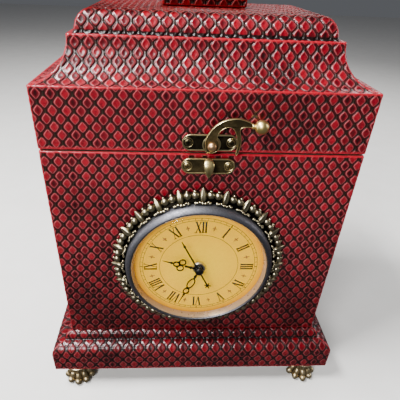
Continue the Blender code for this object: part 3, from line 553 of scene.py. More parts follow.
def cell_height(u, v):
    """How high the emboss stands, 0 to 1, at a place in the surface's own millimetres."""
    x, y = u / PITCH, v / PERIOD
    reach = np.maximum(cell_reach(x, y), cell_reach(x - 0.5, y - 0.5))
    return smooth(reach, -0.5, 0.4) - 0.22 * smooth(reach, 0.6, 1.7)


def waver(u, v):
    """A place in the surface's own millimetres, where the hide is glued down a little unevenly."""
    return (u + 0.22 * np.sin(u / 17) * np.sin(v / 11),
            v + 0.25 * np.sin(u / 29 + 0.6) * np.cos(v / 19))


def rounded(points, radius, steps=4):
    """A polyline whose sharp corners are rounded."""
    result = [points[0]]
    for before, here, after in zip(points, points[1:], points[2:]):
        before, here, after = (Vector(p) for p in (before, here, after))
        back, ahead = before - here, after - here
        bend = back.angle(ahead) if back.length and ahead.length else math.pi
        if bend > math.radians(150):
            result.append(tuple(here))
            continue
        reach = min(radius / math.tan(bend / 2), back.length * 0.45, ahead.length * 0.45)
        start, end = here + back.normalized() * reach, here + ahead.normalized() * reach
        for i in range(steps + 1):
            t = i / steps
            result.append(tuple(start * (1 - t) ** 2 + here * 2 * t * (1 - t) + end * t * t))
    return result + [points[-1]]


def resampled(points, step):
    """Points spaced evenly along a polyline, in mm."""
    points = np.array(points, float)
    lengths = np.r_[0, np.cumsum(np.hypot(*np.diff(points, axis=0).T))]
    places = np.linspace(0, lengths[-1], max(int(lengths[-1] / step), 1) + 1)
    return np.stack([np.interp(places, lengths, points[:, k]) for k in (0, 1)], axis=1), places


def columns_round(half_w, half_d, inset, steps):
    """For each row's inset: plan positions, plan normals and u, round a rectangle with rounded corners."""
    inset = np.asarray(inset, float)[:, None]
    turn = np.radians([22.5, 45, 67.5])[:, None]
    plan, out, u = [], [], []
    middle_u = 0.0
    for side, ((nx, ny), step) in enumerate(zip(((0, -1), (1, 0), (0, 1), (-1, 0)), steps)):
        length, distance = (half_d, half_w) if side % 2 else (half_w, half_d)
        n, t = np.array((nx, ny), float), np.array((-ny, nx), float)
        reach = length - EDGE_ROUND - inset
        run = np.linspace(-1, 1, int(2 * length / step) + 1) * reach
        corner = n * (distance - EDGE_ROUND - inset)[..., None] + t * reach[..., None]
        direction = n * np.cos(turn) + t * np.sin(turn)
        plan += [n * (distance - inset)[..., None] + t * run[..., None], corner + EDGE_ROUND * direction]
        out += [np.broadcast_to(way, (len(inset), count, 2))
                for way, count in ((n, run.shape[1]), (direction, len(turn)))]
        u += [middle_u + run, middle_u + reach + 2 * (EDGE_ROUND + inset) * np.array([0.25, 0.5, 0.75])]
        middle_u += length + distance
    u.append(u[0][:, :1] + middle_u)
    return tuple(np.concatenate(parts, axis=1) for parts in (plan, out, u))


def drawn(z):
    """How much wider than usual the cells are at a height in mm: the hide is drawn out towards the foot."""
    return np.interp(z, DRAWN_HEIGHTS, DRAWN_WIDTHS)


def turning(ahead):
    """How far a profile turns at each place, in radians: above 0 in a hollow, and below 0 on an edge."""
    return np.r_[0, ahead[:-1, 0] * ahead[1:, 1] - ahead[:-1, 1] * ahead[1:, 0]]


def back_places(places, ahead):
    """Which places along a profile its back needs: one each BACK_STEP, and more round hollow corners."""
    turned = np.cumsum(np.clip(turning(ahead), 0, None))
    count = np.floor(places / BACK_STEP) + np.floor(turned / 0.25)
    kept = np.flatnonzero(np.diff(count, prepend=-1))
    return np.union1d(kept, [len(places) - 1])


def emboss_share(places, ahead, out, step, fade):
    """How much of the emboss each place keeps: it fades at the ends and is worn off at sharp edges."""
    kept = np.minimum(smooth(places, *fade[0]), smooth(places[-1] - places, *fade[1]))[:, None]
    sharp = smooth(-turning(ahead) / step, *SHARP)
    sharp = np.maximum(sharp, np.roll(sharp, -1))[:, None]
    corner = smooth(1 - np.abs(out).max(axis=-1), 0.0, 0.05)
    return kept * (1 - EDGE_WEAR * np.maximum(sharp, corner))


def at_height(plan, z):
    return np.concatenate([plan, np.broadcast_to(z, plan.shape[:2])[..., None]], axis=-1)


def skin_mesh(name, profile, step, steps, fade, v_start=0.0, relief=RELIEF, half_w=HALF_W, half_d=HALF_D):
    """A closed skin: the embossed face along the profile, and a plain back SKIN behind it. All in mm.

    step is along the profile, and steps are along the front, right, rear and left. fade says where the
    emboss begins, from the profile's start and from its end.
    """
    line, places = resampled(profile, step)
    ahead, side = directions(line)  # side is the outer one, as (inset, height)
    plan, out, u = columns_round(half_w, half_d, line[:, 0], steps)
    wider = drawn(line[:, 1])
    u = u + (1 / wider - 1)[:, None] * np.clip(u, -half_w, half_w)
    v = v_start + (np.cumsum(1 / wider ** 2) * (places[-1] / (len(places) - 1)))[:, None] + 0 * u
    u, v = waver(u, v)
    kept = emboss_share(places, ahead, out, step, fade)
    depth = relief * (1 - cell_height(u[:, :-1], v[:, :-1])) * kept + SHY
    lift = side[:, None, :] * -depth[..., None]
    face = at_height(plan - out * lift[..., :1], line[:, 1:] + lift[..., 1])
    back_rows = (line - side * SKIN)[back_places(places, ahead)][::-1]
    back_plan, _, back_u = columns_round(half_w, half_d, back_rows[:, 0], steps)
    points = np.concatenate([face, at_height(back_plan, back_rows[:, 1:])], axis=0)
    back_uv = np.stack([back_u, np.full_like(back_u, v[-1, 0])], axis=-1)
    uv = np.concatenate([np.stack([u, v], axis=-1), back_uv], axis=0)
    mesh = grid_mesh(name, points * MM, wrap_rows=True, uv=uv)
    # This attribute is 1 where the face is plain, and below 0 round hollow corners, where the leather's
    # colour is darkened as painted shade.
    hem_and_crease_shade = np.ones(points.shape[:2], np.float32)
    hem_and_crease_shade[: len(line)] = 1 - kept - 2 * smooth(turning(ahead) / step, *SHARP)[:, None]
    mesh.attributes.new("hem_and_crease_shade", "FLOAT", "POINT").data.foreach_set("value", hem_and_crease_shade.reshape(-1))
    return outward(mesh), v[-1, 0]


def top_patch(name, half_w, half_d, z, v_front, step=0.7):
    """The flat embossed sheet that closes a skin's top. Its front edge carries on the front's rows."""
    xs = np.linspace(-half_w, half_w, int(2 * half_w / step) + 1)
    ys = np.linspace(-half_d, half_d, int(2 * half_d / step) + 1)
    x, y = np.meshgrid(xs, ys)
    u, v = waver(x, v_front + (y + half_d))
    depth = RELIEF * (1 - cell_height(u, v)) + SHY
    top = np.stack([x, y, z - depth], axis=-1)
    mesh = grid_mesh(name, top * MM, wrap_columns=False, uv=np.stack([u, v], axis=-1))
    bm = bmesh.new()
    bm.from_mesh(mesh)
    made = bmesh.ops.extrude_edge_only(bm, edges=[e for e in bm.edges if e.is_boundary])["geom"]
    for vertex in made:
        if isinstance(vertex, bmesh.types.BMVert):
            vertex.co.z = (z - SKIN) * MM
    bmesh.ops.holes_fill(bm, edges=[e for e in bm.edges if e.is_boundary], sides=0)
    bm.to_mesh(mesh)
    bm.free()
    return outward(mesh)


def leather_piece(name, mesh, body, *replaces):
    return piece(name, mesh, LEATHER, body, replaces, "red_leather")


def cut_by(obj, mesh):
    """Cuts obj by a closed mesh."""
    cutter = linked("cutter", mesh)
    cut = obj.modifiers.new("Cut", "BOOLEAN")
    cut.operation = "DIFFERENCE"
    cut.solver = "MANIFOLD"
    cut.object = cutter
    apply_modifiers(obj)
    bpy.data.objects.remove(cutter, do_unlink=True)


CLOCK_HOLE = 42.0  # mm, the radius of the hole in the case's leather behind the clock's ring


def case_skin():
    low, high = CASE_LOW.z / MM, CASE_HIGH.z / MM
    profile = rounded([(0, low), (0, high), (SKIN, high)], 0.9)[:-1]
    mesh, _ = skin_mesh("case_leather", profile, 0.95, (0.86, 1.35, 1.7, 1.35), ((0, 0.8), (0.9, 1.6)), 2.6)
    obj = leather_piece("case_leather", mesh, "case", "case_cover")
    hole = [(0, -3), (CLOCK_HOLE, -3), (CLOCK_HOLE, 3), (0, 3)]
    cut_by(obj, lathe_mesh("hole", hole, closed=False, steps=96))


def lid_skin():
    """The band, the hollow cove, the ledge and the rounded tier, and then the flat top."""
    low, high = LID_LOW.z / MM, LID_HIGH.z / MM
    cove_in, cove_h, ledge, tier_in, tier_h = 17.7, 21.4, 3.5, 8.0, 11.0
    shoulder = high - tier_h
    band = shoulder - cove_h
    foot = cove_in + ledge
    inset = foot + tier_in + 1.0
    seam = low + 0.4
    profile = [(SKIN, seam), (0, seam), (0, band)]
    profile += arc((0, shoulder), (cove_in, cove_h), -90, 0, 24)[1:]
    profile += [(foot - 0.5, shoulder), (foot, shoulder + 0.7)]
    profile += arc((foot + tier_in, shoulder + 0.7), (tier_in, tier_h - 0.7), 180, 90, 14)[1:]
    profile = rounded(profile + [(inset, high)], 1.0)[1:]
    mesh, v_end = skin_mesh("lid_leather", profile, 0.68, (0.69, 1.05, 1.4, 1.05), ((0.2, 0.7), (-1, -0.5)),
                            4.4)
    leather_piece("lid_leather", mesh, "lid", "lid_cover")
    top = top_patch("lid_top_leather", HALF_W - inset, HALF_D - inset, high, v_end)
    leather_piece("lid_top_leather", top, "lid")


def plinth_skin():
    """A plain band, a rounded shelf, a groove and a small quarter round."""
    low, high = PLINTH_LOW.z / MM, PLINTH_HIGH.z / MM
    out = PLINTH_HIGH.x / MM - HALF_W
    band = low + 16.0
    profile = [(-out + SKIN, low), (-out, low)] + arc((-5, band), (5 - out, 7.1), 0, 90, 12)
    profile += [(-4.7, band + 6.9), (-4.2, band + 7.0)] + arc((0, high - 5.2), (-4.2, 5.2), 0, 90, 6)
    profile = rounded(profile + [(2.0, high)], 0.8)[1:]
    mesh, _ = skin_mesh("plinth_leather", profile, 0.55, (0.6, 1.0, 1.3, 1.0), ((0.2, 0.9), (-1, -0.5)),
                        relief=0.45)
    leather_piece("plinth_leather", mesh, "case", "plinth_cover")


def handle_pad():
    low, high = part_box("handle_pad")
    half_w, half_d = high.x / MM, high.y / MM
    base, top = low.z / MM, high.z / MM
    profile = rounded([(SKIN, base), (0, base), (0, top), (2.0, top)], 1.4)[1:]
    mesh, v_end = skin_mesh("handle_pad_leather", profile, 0.5, (0.5,) * 4, ((0, 0.7), (-1, -0.5)), 2.0,
                            half_w=half_w, half_d=half_d)
    leather_piece("handle_pad_leather", mesh, "lid", "handle_pad")
    cap = top_patch("handle_pad_top", half_w - 2.0, half_d - 2.0, top, v_end, 0.6)
    leather_piece("handle_pad_top", cap, "lid")


# The clock's turned pieces. Their profiles are (radius, forward) in mm.


def turned(name, profile, material, node, slot, closed=True, sharp=40):
    """A profile turned about the shaft, in place of a CAD node."""
    piece(name, lathe_mesh(name, profile, closed), material, "case", (node,), slot, sharp)


DIAL_FACE, DIAL_BACK = 5.5, 4.75
LENS_EDGE = 8.0


def clock_rings():
    nose = rounded([(43.05, 4.1), (43.05, 9.9), (43.6, 10.6), (44.4, 10.4), (45.6, 9.5), (46.5, 7.9),
                    (46.95, 6.0), (47.0, 2.9)], 0.9, 5)
    pan = [(41.6, 2.9), (41.6, -6), (40.5, -6), (40.5, 4.1)]
    turned("bezel_ring", nose + pan, GUNMETAL, "bezel", "gunmetal")
    lip = rounded([(42.95, 5.7), (42.95, 9.7), (42.7, 9.9), (41.7, 5.9), (41.7, 5.7)], 0.3, 4)
    turned("lens_seat", lip, PALE_METAL, "lens_ring", "pale_metal")
    outer = [(0, 13.5)] + arc((0, LENS_EDGE), (41.6, 5.5), 88, 12, 22) + [(41.6, 8.2)]
    inner = arc((0, LENS_EDGE), (40.6, 4.3), 0, 88, 22) + [(0, 12.3)]
    turned("domed_lens", outer + inner, GLASS, "lens", "clear_glass", closed=False, sharp=None)
    face = [(0, DIAL_FACE), (20, DIAL_FACE), (42.9, DIAL_FACE), (42.9, DIAL_BACK), (0, DIAL_BACK)]
    turned("dial_plate", face, DIAL, "dial", "printed_dial", closed=False)


class Sheet(Solid):
    """Bars and rings cut from one flat sheet, drawn upright at twelve and turned about the shaft.

    levels are the sheet's back and front, in mm in front of the leather.
    """

    def __init__(self, levels, clockwise=0):
        super().__init__()
        self.levels = levels
        self.turn(clockwise)

    def turn(self, clockwise):
        """Turns what is drawn next by some degrees."""
        self.angle = math.radians(clockwise)

    def place(self, x, up, forward):
        cos, sin = math.cos(self.angle), math.sin(self.angle)
        return x * cos + up * sin, FRONT - forward, DIAL_Z + up * cos - x * sin

    def bar(self, points, widths):
        self.add(strip(points, widths, *self.levels, self.place))

    def spine(self, *stations):
        """A bar up the middle through stations of (along, width)."""
        self.bar([(0, along) for along, _ in stations], [width for _, width in stations])

    def ring(self, centre, radii, width, steps=28):
        outline = arc(centre, radii, 0, 360 - 360 / steps, steps - 1)
        self.add(strip(outline, width, *self.levels, self.place, True), ring=True)


INK_LEVELS = (DIAL_FACE + 0.01, DIAL_FACE + 0.08)
NUMERAL_FOOT, NUMERAL_TOP = 27.1, 35.0
NUMERAL_MIDDLE = (NUMERAL_FOOT + NUMERAL_TOP) / 2
THICK, THIN, SERIF, SERIF_REACH = 1.0, 0.42, 0.3, 0.85
NUMERALS = ("XII", "I", "II", "III", "IV", "V", "VI", "VII", "VIII", "IX", "X", "XI")
WIDTHS = {"I": 1.75, "V": 4.1, "X": 4.0}
CHAPTER_RING, TRACK = 25.2, (36.0, 37.7)


def numeral(sheet, text):
    """Roman strokes standing outward from the shaft, thick and thin, with serifs."""
    left = -sum(WIDTHS[letter] for letter in text) / 2
    for letter in text:
        here = left + WIDTHS[letter] / 2
        reach = WIDTHS[letter] / 2 - 0.65
        strokes = {"I": ((0, 0, THICK),), "V": ((-reach, 0, THICK), (reach, 0, THIN)),
                   "X": ((-reach, reach, THICK), (reach, -reach, THIN))}[letter]
        for start, end, width in strokes:
            sheet.bar([(here + start, NUMERAL_TOP), (here + end, NUMERAL_FOOT)], width)
            for level in (NUMERAL_TOP,) if letter == "V" else (NUMERAL_FOOT, NUMERAL_TOP):
                serif = [(here + start + side * SERIF_REACH, level) for side in (-1, 1)]
                sheet.bar(serif, SERIF)
        left += WIDTHS[letter]


def fleuron(sheet):
    """Five dots in a cross on a short line, between two numerals."""
    for x, up, size in ((0, 0, 0.62), (0, 1.05, 0.42), (0, -1.05, 0.42), (0.85, 0, 0.4), (-0.85, 0, 0.4)):
        sheet.ring((x, NUMERAL_MIDDLE + up), (size / 2, size / 2), size * 0.9, 10)
    sheet.spine((NUMERAL_MIDDLE - 2.1, 0.16), (NUMERAL_MIDDLE + 2.1, 0.16))


def dial_print():
    black, brown = Sheet(INK_LEVELS), Sheet(INK_LEVELS)
    for radius, width in ((CHAPTER_RING, 0.22), (TRACK[0], 0.2), (TRACK[1], 0.2)):
        black.ring((0, 0), (radius, radius), width, 120)
    for hour, text in enumerate(NUMERALS):
        black.turn(30 * hour)
        numeral(black, text)
        brown.turn(30 * hour + 15)
        fleuron(brown)
    for minute in range(60):
        width = 0.5 if minute % 5 == 0 else 0.2
        black.turn(6 * minute)
        black.spine((TRACK[0], width), (TRACK[1], width))
    black.piece("dial_numerals", BLACK_INK, "case", (), "black_hands")
    brown.piece("dial_fleurons", BROWN_INK, "case", (), "printed_dial")


def angle_of(hand):
    """Where a CAD hand points, in degrees clockwise from twelve."""
    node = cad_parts[hand]
    points = [node.matrix_world @ v.co for v in node.data.vertices]
    tip = max(points, key=lambda p: (p.x - SHAFT.x) ** 2 + (p.z - SHAFT.z) ** 2)
    return math.degrees(math.atan2(tip.x - SHAFT.x, tip.z - SHAFT.z))


def spear(hand, start, end, width):
    """A blade with a swelling near its root and a fine point."""
    hand.spine((start, width * 0.5), (start + 0.8, width), (start + 1.7, width * 1.7),
               (start + 2.6, width * 0.85), ((start + end) / 2, width * 0.6), (end - 1, width * 0.35),
               (end, 0.12))


def boss(hand, outer, inner):
    radius = (outer + inner) / 2
    hand.ring((0, 0), (radius, radius), outer - inner, 32)


def hour_hand(hand):
    boss(hand, 2.9, 2.2)
    hand.spine((2.6, 1.7), (4.6, 1.2), (5.6, 2.3), (6.6, 1.2), (9.6, 1.6))
    for x in (-2.4, 2.4):
        hand.ring((x, 11.9), (2.15, 2.0), 0.82)
    hand.ring((0, 15.1), (1.75, 1.9), 0.82)
    hand.ring((0, 12.6), (0.45, 0.45), 0.85, 12)
    for side in (-1, 1):
        hand.bar([(side * 1.3, 13.6), (side * 2.3, 14.7)], [1.1, 0.6])
    spear(hand, 16.8, 24.4, 0.95)


def minute_hand(hand):
    boss(hand, 2.6, 1.6)
    hand.spine((2.3, 1.5), (4.4, 1.1), (5.6, 2.0), (6.8, 1.1), (7.7, 1.3))
    hand.ring((0, 12.0), (2.0, 4.2), 0.78, 36)
    hand.ring((0, 19.2), (1.75, 2.3), 0.78)
    hand.bar([(-1.5, 16.7), (0, 16.9), (1.5, 16.7)], [0.5, 1.1, 0.5])
    spear(hand, 21.2, 31.6, 1.0)


def second_hand(hand):
    """A long needle with an arrow's flights behind it, under the shaft's domed cap."""
    hand.spine((-16.2, 0.5), (-14.2, 0.8), (-13.2, 1.1), (-12.2, 0.9), (0, 1.15), (21.0, 0.85), (22.3, 1.6),
               (23.6, 0.7), (26.4, 0.4))
    for side in (-1, 1):
        for x, up in ((1.8, -14.6), (1.7, -11.9)):
            hand.bar([(side * x, up), (side * 0.2, -13.2)], [0.5, 0.8])
    cap = [(0.05, 12.0), (1.3, 11.9), (2.2, 11.5), (2.7, 10.9), (2.7, 10.1), (0.05, 10.1)]
    hand.add(lathe(cap, CLOCK))


def hands():
    for name, draw, body, levels in (("hour_hand", hour_hand, "hours", (8.2, 8.55)),
                                     ("minute_hand", minute_hand, "minutes", (9.3, 9.65)),
                                     ("second_hand", second_hand, "seconds", (10.3, 10.65))):
        hand = Sheet(levels, angle_of(name))
        draw(hand)
        hand.piece(f"{name}_fretted", HAND_BLACK, body, (name,), "black_hands", 40)
    nut = [(2.95, 5.8), (4.3, 5.8), (4.3, 7.0), (3.9, 7.7), (2.95, 7.7)]
    solid = Solid().add(lathe(nut, CLOCK), ring=True)
    solid.piece("shaft_nut", STEEL, "case", ("movement_nut",), "bright_steel", 40)


# The cast ring round the clock: a leaf every 15 degrees, two buds between, and a row of scrolls within.
# Places there are (outward, along the rim, forward) in mm.

LEAVES = 24


def ring_axes(clockwise):
    """The directions outward, along the rim and forward, at an angle round the clock."""
    turn = math.radians(clockwise)
    return np.array([(math.sin(turn), 0, math.cos(turn)), (math.cos(turn), 0, -math.sin(turn)), (0, -1, 0)])


def raised(lean, low):
    """Wear that is high where a rounded shape faces forward."""
    return low + (1 - low) * np.clip(0.5 + 0.7 * lean, 0, 1)


def leaf(solid, axes):
    """A ribbed bud that lies outward and falls away from the bezel."""
    turn = round_turn(20)
    ribs = 1 + 0.13 * np.cos(6 * turn)
    rows = []
    for t in np.linspace(0.02, 0.99, 13):
        swell = math.sin(math.pi * t ** 0.72) ** 0.75
        side, ahead = 2.2 * swell * np.cos(turn) * ribs, 1.75 * swell * np.sin(turn) * ribs
        rows.append(np.stack([48.2 + 8.3 * t + 0 * turn, side, 4.6 - 3.0 * t + ahead], axis=-1) @ axes)
    lean = np.sin(turn) * 0.8 + 0.35 * np.cos(6 * turn)
    solid.add((np.array(rows) + CLOCK) * MM, worn=raised(lean, 0.1))


def blob(solid, axes, place, sizes):
    """An ellipsoid on the ring whose front is rubbed bright."""
    rows = ellipsoid(CLOCK + np.array(place) @ axes, *(axes * np.array(sizes)[:, None]))
    ahead = (rows[..., 1].mean() - rows[..., 1]) / (sizes[2] * MM)
    solid.add(rows, worn=raised(ahead, 0.0))


def ornate_ring():
    solid = Solid()
    base = [(42.3, 0.5), (42.3, 2.5), (47.3, 2.5), (47.3, 4.2), (48.6, 4.2), (49.2, 2.6), (50.6, 2.4),
            (52.6, 1.9), (53.2, 1.2), (53.2, 0.5)]
    solid.add(lathe(base, CLOCK, steps=144), ring=True, worn=0.0)
    for i in range(LEAVES):
        start = 360 / LEAVES * i
        axes = ring_axes(start)
        leaf(solid, axes)
        for side, out_by, size in ((0, 0.0, 1.0), (-1.7, 0.6, 0.85), (1.7, -0.2, 0.85), (-3.2, 0.1, 0.7),
                                   (3.2, 0.6, 0.7)):
            blob(solid, axes, (48.3 + out_by, side, 5.6), (0.8 * size, 1.25 * size, 1.15 * size))
        for turn in (5, 10):
            axes = ring_axes(start + turn)
            blob(solid, axes, (52.1, 0, 2.8), (2.3, 2.5, 2.3))
            blob(solid, axes, (54.3, 0, 2.0), (0.8, 1.0, 1.2))
            blob(solid, axes, (48.2, 0, 5.2), (0.85, 1.0, 1.0))
    solid.piece("ornate_rim", OLD_SILVER, "case", ("ornate_ring",), "old_silver")


# Latch. Its plates and hook are dished, with a rubbed rim. Places there are (x, forward, z) in mm.


def from_front(rows, x, z):
    """Rows of places about x and z on the leather's front, as metres in place."""
    return (np.asarray(rows, float) * (1, -1, 1) + (x, FRONT, z)) * MM


def offset_loop(points, distance):
    """A closed outline moved inward by a distance along its normals."""
    points = np.array(points, float)
    area = np.sum(points[:, 0] * np.roll(points[:, 1], -1) - np.roll(points[:, 0], -1) * points[:, 1])
    return points + directions(points, cyclic=True)[1] * distance * np.sign(area)


def dished(solid, outline, x, z, back, front, rim=0.8, dip=0.35, field=0.5):
    """Adds a plate with an outline of (x, z), from its back to its dished face."""
    levels = ((0.0, back, 0.3), (0.0, front - 0.3, 0.8), (0.1, front - 0.08, 1.0), (0.22, front, 1.0),
              (rim - 0.1, front, 0.9), (rim, front - 0.1, 0.5), (rim + field * 0.3, front - dip, 0.05),
              (rim + field, front - dip, 0.25))  # inset, forward and wear
    rows = [[(side, level, up) for side, up in offset_loop(outline, inset)] for inset, level, _ in levels]
    caps = tessellate_polygon([[Vector((side, up, 0)) for side, up in outline]])
    solid.add(from_front(rows, x, z), worn=np.array(levels)[:, 2:], caps=caps)


def worn_lathe(solid, profile, x, z, ring=False):
    """Adds a turned shape whose profile is (radius, forward, wear)."""
    profile = np.array(profile)
    solid.add(lathe(profile[:, :2], (x, FRONT, z)), ring=ring, worn=profile[:, 2:])


def pill(length, height):
    r = height / 2
    reach = length / 2 - r
    return arc((reach, 0), (r, r), -90, 90, 14) + arc((-reach, 0), (r, r), 90, 270, 14)


def smooth_loop(points, steps=6):
    """A closed Catmull-Rom curve through points."""
    points = np.array(points, float)
    before, after, last = np.roll(points, 1, 0), np.roll(points, -1, 0), np.roll(points, -2, 0)
    result = []
    for i in range(len(points)):
        for t in np.arange(steps) / steps:
            a, b, c, d = before[i], points[i], after[i], last[i]
            result.append(0.5 * (2 * b + (c - a) * t + (2 * a - 5 * b + 4 * c - d) * t ** 2
                                 + (3 * b - a - 3 * c + d) * t ** 3))
    return np.array(result)


def screw_head(solid, x, z):
    """A domed head with a cross cut in it."""
    base, radius = 1.0, 1.9
    turn = round_turn(52)
    rows, worn = [], []
    for i, share in enumerate((1.0, 1.0, 0.93, 0.8, 0.62, 0.5, 0.4, 0.3, 0.2, 0.1, 0.03)):
        side, up = radius * share * np.cos(turn), radius * share * np.sin(turn)
        level = base + 0.15 + 0.62 * (1 - share ** 2) if i else base - 0.2
        slot = (np.minimum(np.abs(side), np.abs(up)) < 0.27) & (share < 0.7)
        rows.append(np.stack([side, np.where(slot, base - 0.1, level), up], axis=-1))
        worn.append(np.where(slot, 0.0, 0.7 if share > 0.7 else 0.45))
    solid.add(from_front(rows, x, z), worn=np.array(worn))


def tongue(solid, x, z):
    """The catch: a strip bent out from the plate's top and down, narrowing to a rounded tip."""
    stations = np.array([(1.3, 4.3, 1.9), (3.0, 4.2, 2.3), (4.9, 3.3, 2.8), (5.9, 1.4, 2.7), (6.1, -1.0, 2.2),
                         (5.9, -3.0, 1.5), (5.4, -4.6, 0.6)])  # forward, up and half the width
    line, half = stations[:, :2], stations[:, 2:]
    normal = directions(line)[1]
    turn = round_turn(16)
    thick = 0.62 * np.sin(turn)
    rows = np.stack([half * np.cos(turn), line[:, :1] - normal[:, :1] * thick,
                     line[:, 1:] - normal[:, 1:] * thick], axis=-1)
    solid.add(from_front(rows, x, z), worn=0.55 + 0.4 * np.abs(np.cos(turn)))


SCREW_REACH = 11.7  # from a plate's middle to its screws
SINK = ((2.9, 0.8, 0.1), (2.9, 1.15, 0.5), (2.6, 1.35, 0.8), (2.2, 1.15, 0.3), (2.0, 0.8, 0.0))
RIVET_SEAT = ((5.0, 1.0, 0.3), (5.0, 1.7, 0.8), (4.6, 2.0, 1.0), (4.1, 1.9, 0.5), (3.9, 1.6, 0.1),
              (3.6, 2.3, 0.7), (3.2, 2.6, 0.6), (0.05, 2.6, 0.4), (0.05, 1.0, 0.2))
HOOK = ((-3.9, 1.2), (-3.6, 4.0), (-2.0, 7.4), (0.9, 11.3), (5.8, 14.4), (12.4, 15.5), (17.8, 14.2),
        (21.5, 12.3), (21.6, 10.9), (17.4, 11.0), (14.8, 10.3), (14.3, 8.7), (15.0, 6.0), (15.4, 2.4),
        (15.0, -1.5), (13.9, -4.7), (12.9, -4.5), (13.5, -1.0), (13.4, 2.5), (12.7, 5.6), (11.6, 8.3),
        (10.2, 10.2), (7.4, 10.7), (4.4, 9.1), (2.9, 6.6), (2.6, 4.4), (3.6, 2.4), (3.9, 0.0),
        (3.2, -2.3), (1.2, -3.7), (-1.4, -3.6), (-3.2, -2.2))


def latch_plate(which, material, body):
    """A plate with its two screws, and the hook's seat above or the catch below."""
    name = f"latch_{which}_plate"
    left, z = middle(f"latch_{which}_screw_left")
    x = left + SCREW_REACH
    solid = Solid()
    dished(solid, pill(30, 9.4), x, z, 0.3, 1.5)
    for screw_x in (left, x + SCREW_REACH):
        worn_lathe(solid, SINK, screw_x, z, ring=True)
        screw_head(solid, screw_x, z)
    if which == "upper":
        worn_lathe(solid, RIVET_SEAT, *middle("latch_rivet"))
    else:
        tongue(solid, x, z)
    screws = tuple(f"latch_{which}_screw_{side}" for side in ("left", "right"))
    solid.piece(f"{name}_dished", material, body, (name,) + screws, "old_brass", 50)


def latch():
    latch_plate("upper", DARK_BRASS, "lid")
    latch_plate("lower", OLD_BRASS, "case")
    x, z = middle("latch_rivet")
    hook = Solid()
    dished(hook, smooth_loop(HOOK), x, z, 2.8, 4.4, rim=0.4, dip=0.22, field=0.2)
    hook.piece("latch_hook_dished", OLD_BRASS, "hook", ("latch_hook",), "old_brass", 50)
    ball = Solid()
    ball.add(ellipsoid((x + 25.2, FRONT - 4.3, z + 11.3), *(np.eye(3) * 3.8), 20, 32), worn=0.75)
    neck = [(1.25, 20.2), (1.6, 20.8), (1.2, 21.3), (1.3, 22.2)]
    ball.add(lathe(neck, (x, FRONT - 3.8, z + 11.4), "X", 24), worn=0.9)
    ball.piece("latch_ball", BALL_BRASS, "hook", (), "old_brass")
    dome = [(0.05, 6.9)] + arc((0, 4.7), (2.5, 2.2), 85, 0, 9)
    dome += [(2.5, 4.0), (1.2, 4.0), (1.2, 1.2), (0.05, 1.2)]
    rivet = Solid().add(lathe(dome, (x, FRONT, z)), worn=0.7)
    rivet.piece("latch_rivet_dome", RIVET_BRASS, "lid", ("latch_rivet",), "old_brass")


# Feet: lion's paws.

FOOT_REACH = 67.0  # from the clock box's middle to a paw's leg, front or rear
LEG = ((0.05, 17.6), (9.3, 17.6), (9.5, 16.9), (9.0, 16.0), (7.2, 14.6), (6.2, 12.4), (6.3, 10.0),
       (7.4, 6.6), (8.2, 3.6), (8.0, 1.0), (7.2, 0.15), (0.05, 0.15))  # radius and height


def melt(obj, voxel):
    """Melts the object's shapes into one soft surface."""
    remesh = obj.modifiers.new("Melt", "REMESH")
    remesh.mode = "VOXEL"
    remesh.voxel_size = voxel * MM
    soften = obj.modifiers.new("Soften", "SMOOTH")
    soften.factor = 0.5
    soften.iterations = 3
    apply_modifiers(obj)
    obj.data.shade_smooth()


def clipped(obj, low, high):
    """Keeps a surface's points inside a box."""
    points = np.empty(len(obj.data.vertices) * 3)
    obj.data.vertices.foreach_get("co", points)
    points = np.clip(points.reshape(-1, 3), np.array(low), np.array(high))
    obj.data.vertices.foreach_set("co", points.reshape(-1))
    obj.data.update()


def foot(name):
    """A turned leg with five toes and their tendons, cast in one."""
    low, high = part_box(name)
    end = -1 if low.y < 0 else 1
    centre = np.array((middle(name)[0], end * FOOT_REACH, 0))
    up = np.array((0, 0, 1.0))
    solid = Solid().add(lathe(LEG, centre, "Z", 40))
    for turn in np.radians((-76, -38, 0, 38, 76)):
        out = np.array((math.sin(turn), end * math.cos(turn), 0))
        across = np.array((math.cos(turn), -end * math.sin(turn), 0))
        solid.add(ellipsoid(centre + out * 8.6 + up * 3.0, up * 2.9, out * 3.1, across * 2.5))
        solid.add(ellipsoid(centre + out * 7.0 + up * 6.6, up * 3.4 - out * 1.1, out * 2.3, across * 2.1))
        solid.add(ellipsoid(centre + out * 5.6 + up * 10.4, up * 4.2 - out * 0.2, out * 1.5, across * 1.15))
    obj = solid.piece(f"{name}_paw", PAW_BRASS, "case", (name,), "old_brass")
    melt(obj, 0.33)
    clipped(obj, low, high)


# Camera, light and floor.

CAMERA = Vector((-0.0201, -0.2504, 0.2752))
YAW, PITCH_DOWN, ROLL = math.radians(3.58), math.radians(31.88), math.radians(2.43)
LENS, SENSOR = 33.73, 36
SHIFT = (0.03, 0.004)


def camera():
    lens = bpy.data.cameras.new("camera")
    lens.lens, lens.sensor_width = LENS, SENSOR
    lens.shift_x, lens.shift_y = SHIFT
    lens.clip_start = 0.01
    obj = linked("camera", lens)
    lean = Matrix.Rotation(math.pi / 2 - PITCH_DOWN, 4, "X")
    turn = Matrix.Rotation(-YAW, 4, "Z") @ lean @ Matrix.Rotation(ROLL, 4, "Z")
    obj.matrix_world = Matrix.Translation(CAMERA) @ turn
    bpy.context.scene.camera = obj


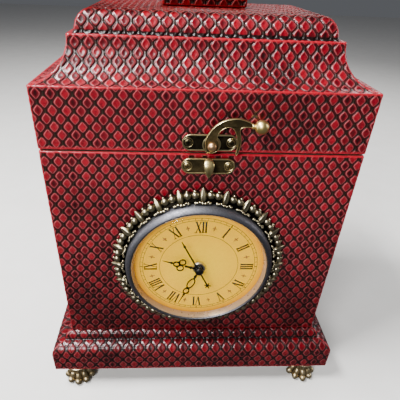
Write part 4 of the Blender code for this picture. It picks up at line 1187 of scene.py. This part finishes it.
def area_light(name, place, target, size, power):
    light = bpy.data.lights.new(name, "AREA")
    light.shape = "RECTANGLE"
    light.size, light.size_y = size
    light.energy = power
    obj = linked(name, light)
    obj.location = place
    obj.rotation_mode = "QUATERNION"
    obj.rotation_quaternion = (Vector(target) - Vector(place)).to_track_quat("-Z", "Y")


def studio():
    world = bpy.data.worlds.new("studio")
    world.use_nodes = True
    sky = world.node_tree.nodes["Background"]
    sky.inputs["Color"].default_value = rgb(196, 200, 208)
    sky.inputs["Strength"].default_value = 0.18
    bpy.context.scene.world = world
    area_light("key", (-0.42, -0.12, 0.90), (0, -0.02, 0.2), (0.38, 0.16), 25)
    area_light("side", (-0.75, 0.02, 0.30), (0, 0, 0.15), (0.3, 0.5), 4)
    area_light("fill", (-0.45, -0.80, 0.75), (0, 0, 0.14), (0.35, 0.35), 13)
    area_light("right", (0.85, 0.1, 0.45), (0, 0, 0.15), (0.5, 0.5), 4)
    area_light("rim", (0.3, 0.8, 0.8), (0, 0, 0.2), (0.7, 0.4), 5)
    s = Shader("studio_floor")
    pale = s.finish(s.mix(s.noise(30, 3), rgb(214, 212, 208), rgb(226, 224, 221)), 0.7)
    x, y = np.meshgrid((-3, 0, 3), (-3, 0, 3))
    mesh = grid_mesh("floor", np.stack([x, y, 0 * x], axis=-1), wrap_columns=False)
    mesh.materials.append(pale)
    floor = linked("floor", mesh)
    floor.visible_glossy = False  # a pale floor would veil the leather


# The look of every CAD node that still shows, by a word in its name.
CAD_LOOKS = {"hinge": SHAPED_BRASS, "bail": SHAPED_BRASS, "post": SHAPED_BRASS, "movement": BLACK_PLASTIC,
             "coil": COPPER, "battery": CELL, "wheel": NYLON, "rotor": NYLON, "lining": FELT, "panel": BOARD,
             "floor": BOARD, "frame": BOARD, "cove": BOARD, "top": BOARD}


def dress_cad():
    for name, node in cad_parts.items():
        for word in name.split("_"):
            if word in CAD_LOOKS:
                node.data.materials.clear()
                node.data.materials.append(CAD_LOOKS[word])


dress_cad()
case_skin()
lid_skin()
plinth_skin()
handle_pad()
clock_rings()
dial_print()
hands()
ornate_ring()
latch()
for foot_name in ("foot_front_left", "foot_front_right", "foot_rear_left", "foot_rear_right"):
    foot(foot_name)
camera()
studio()
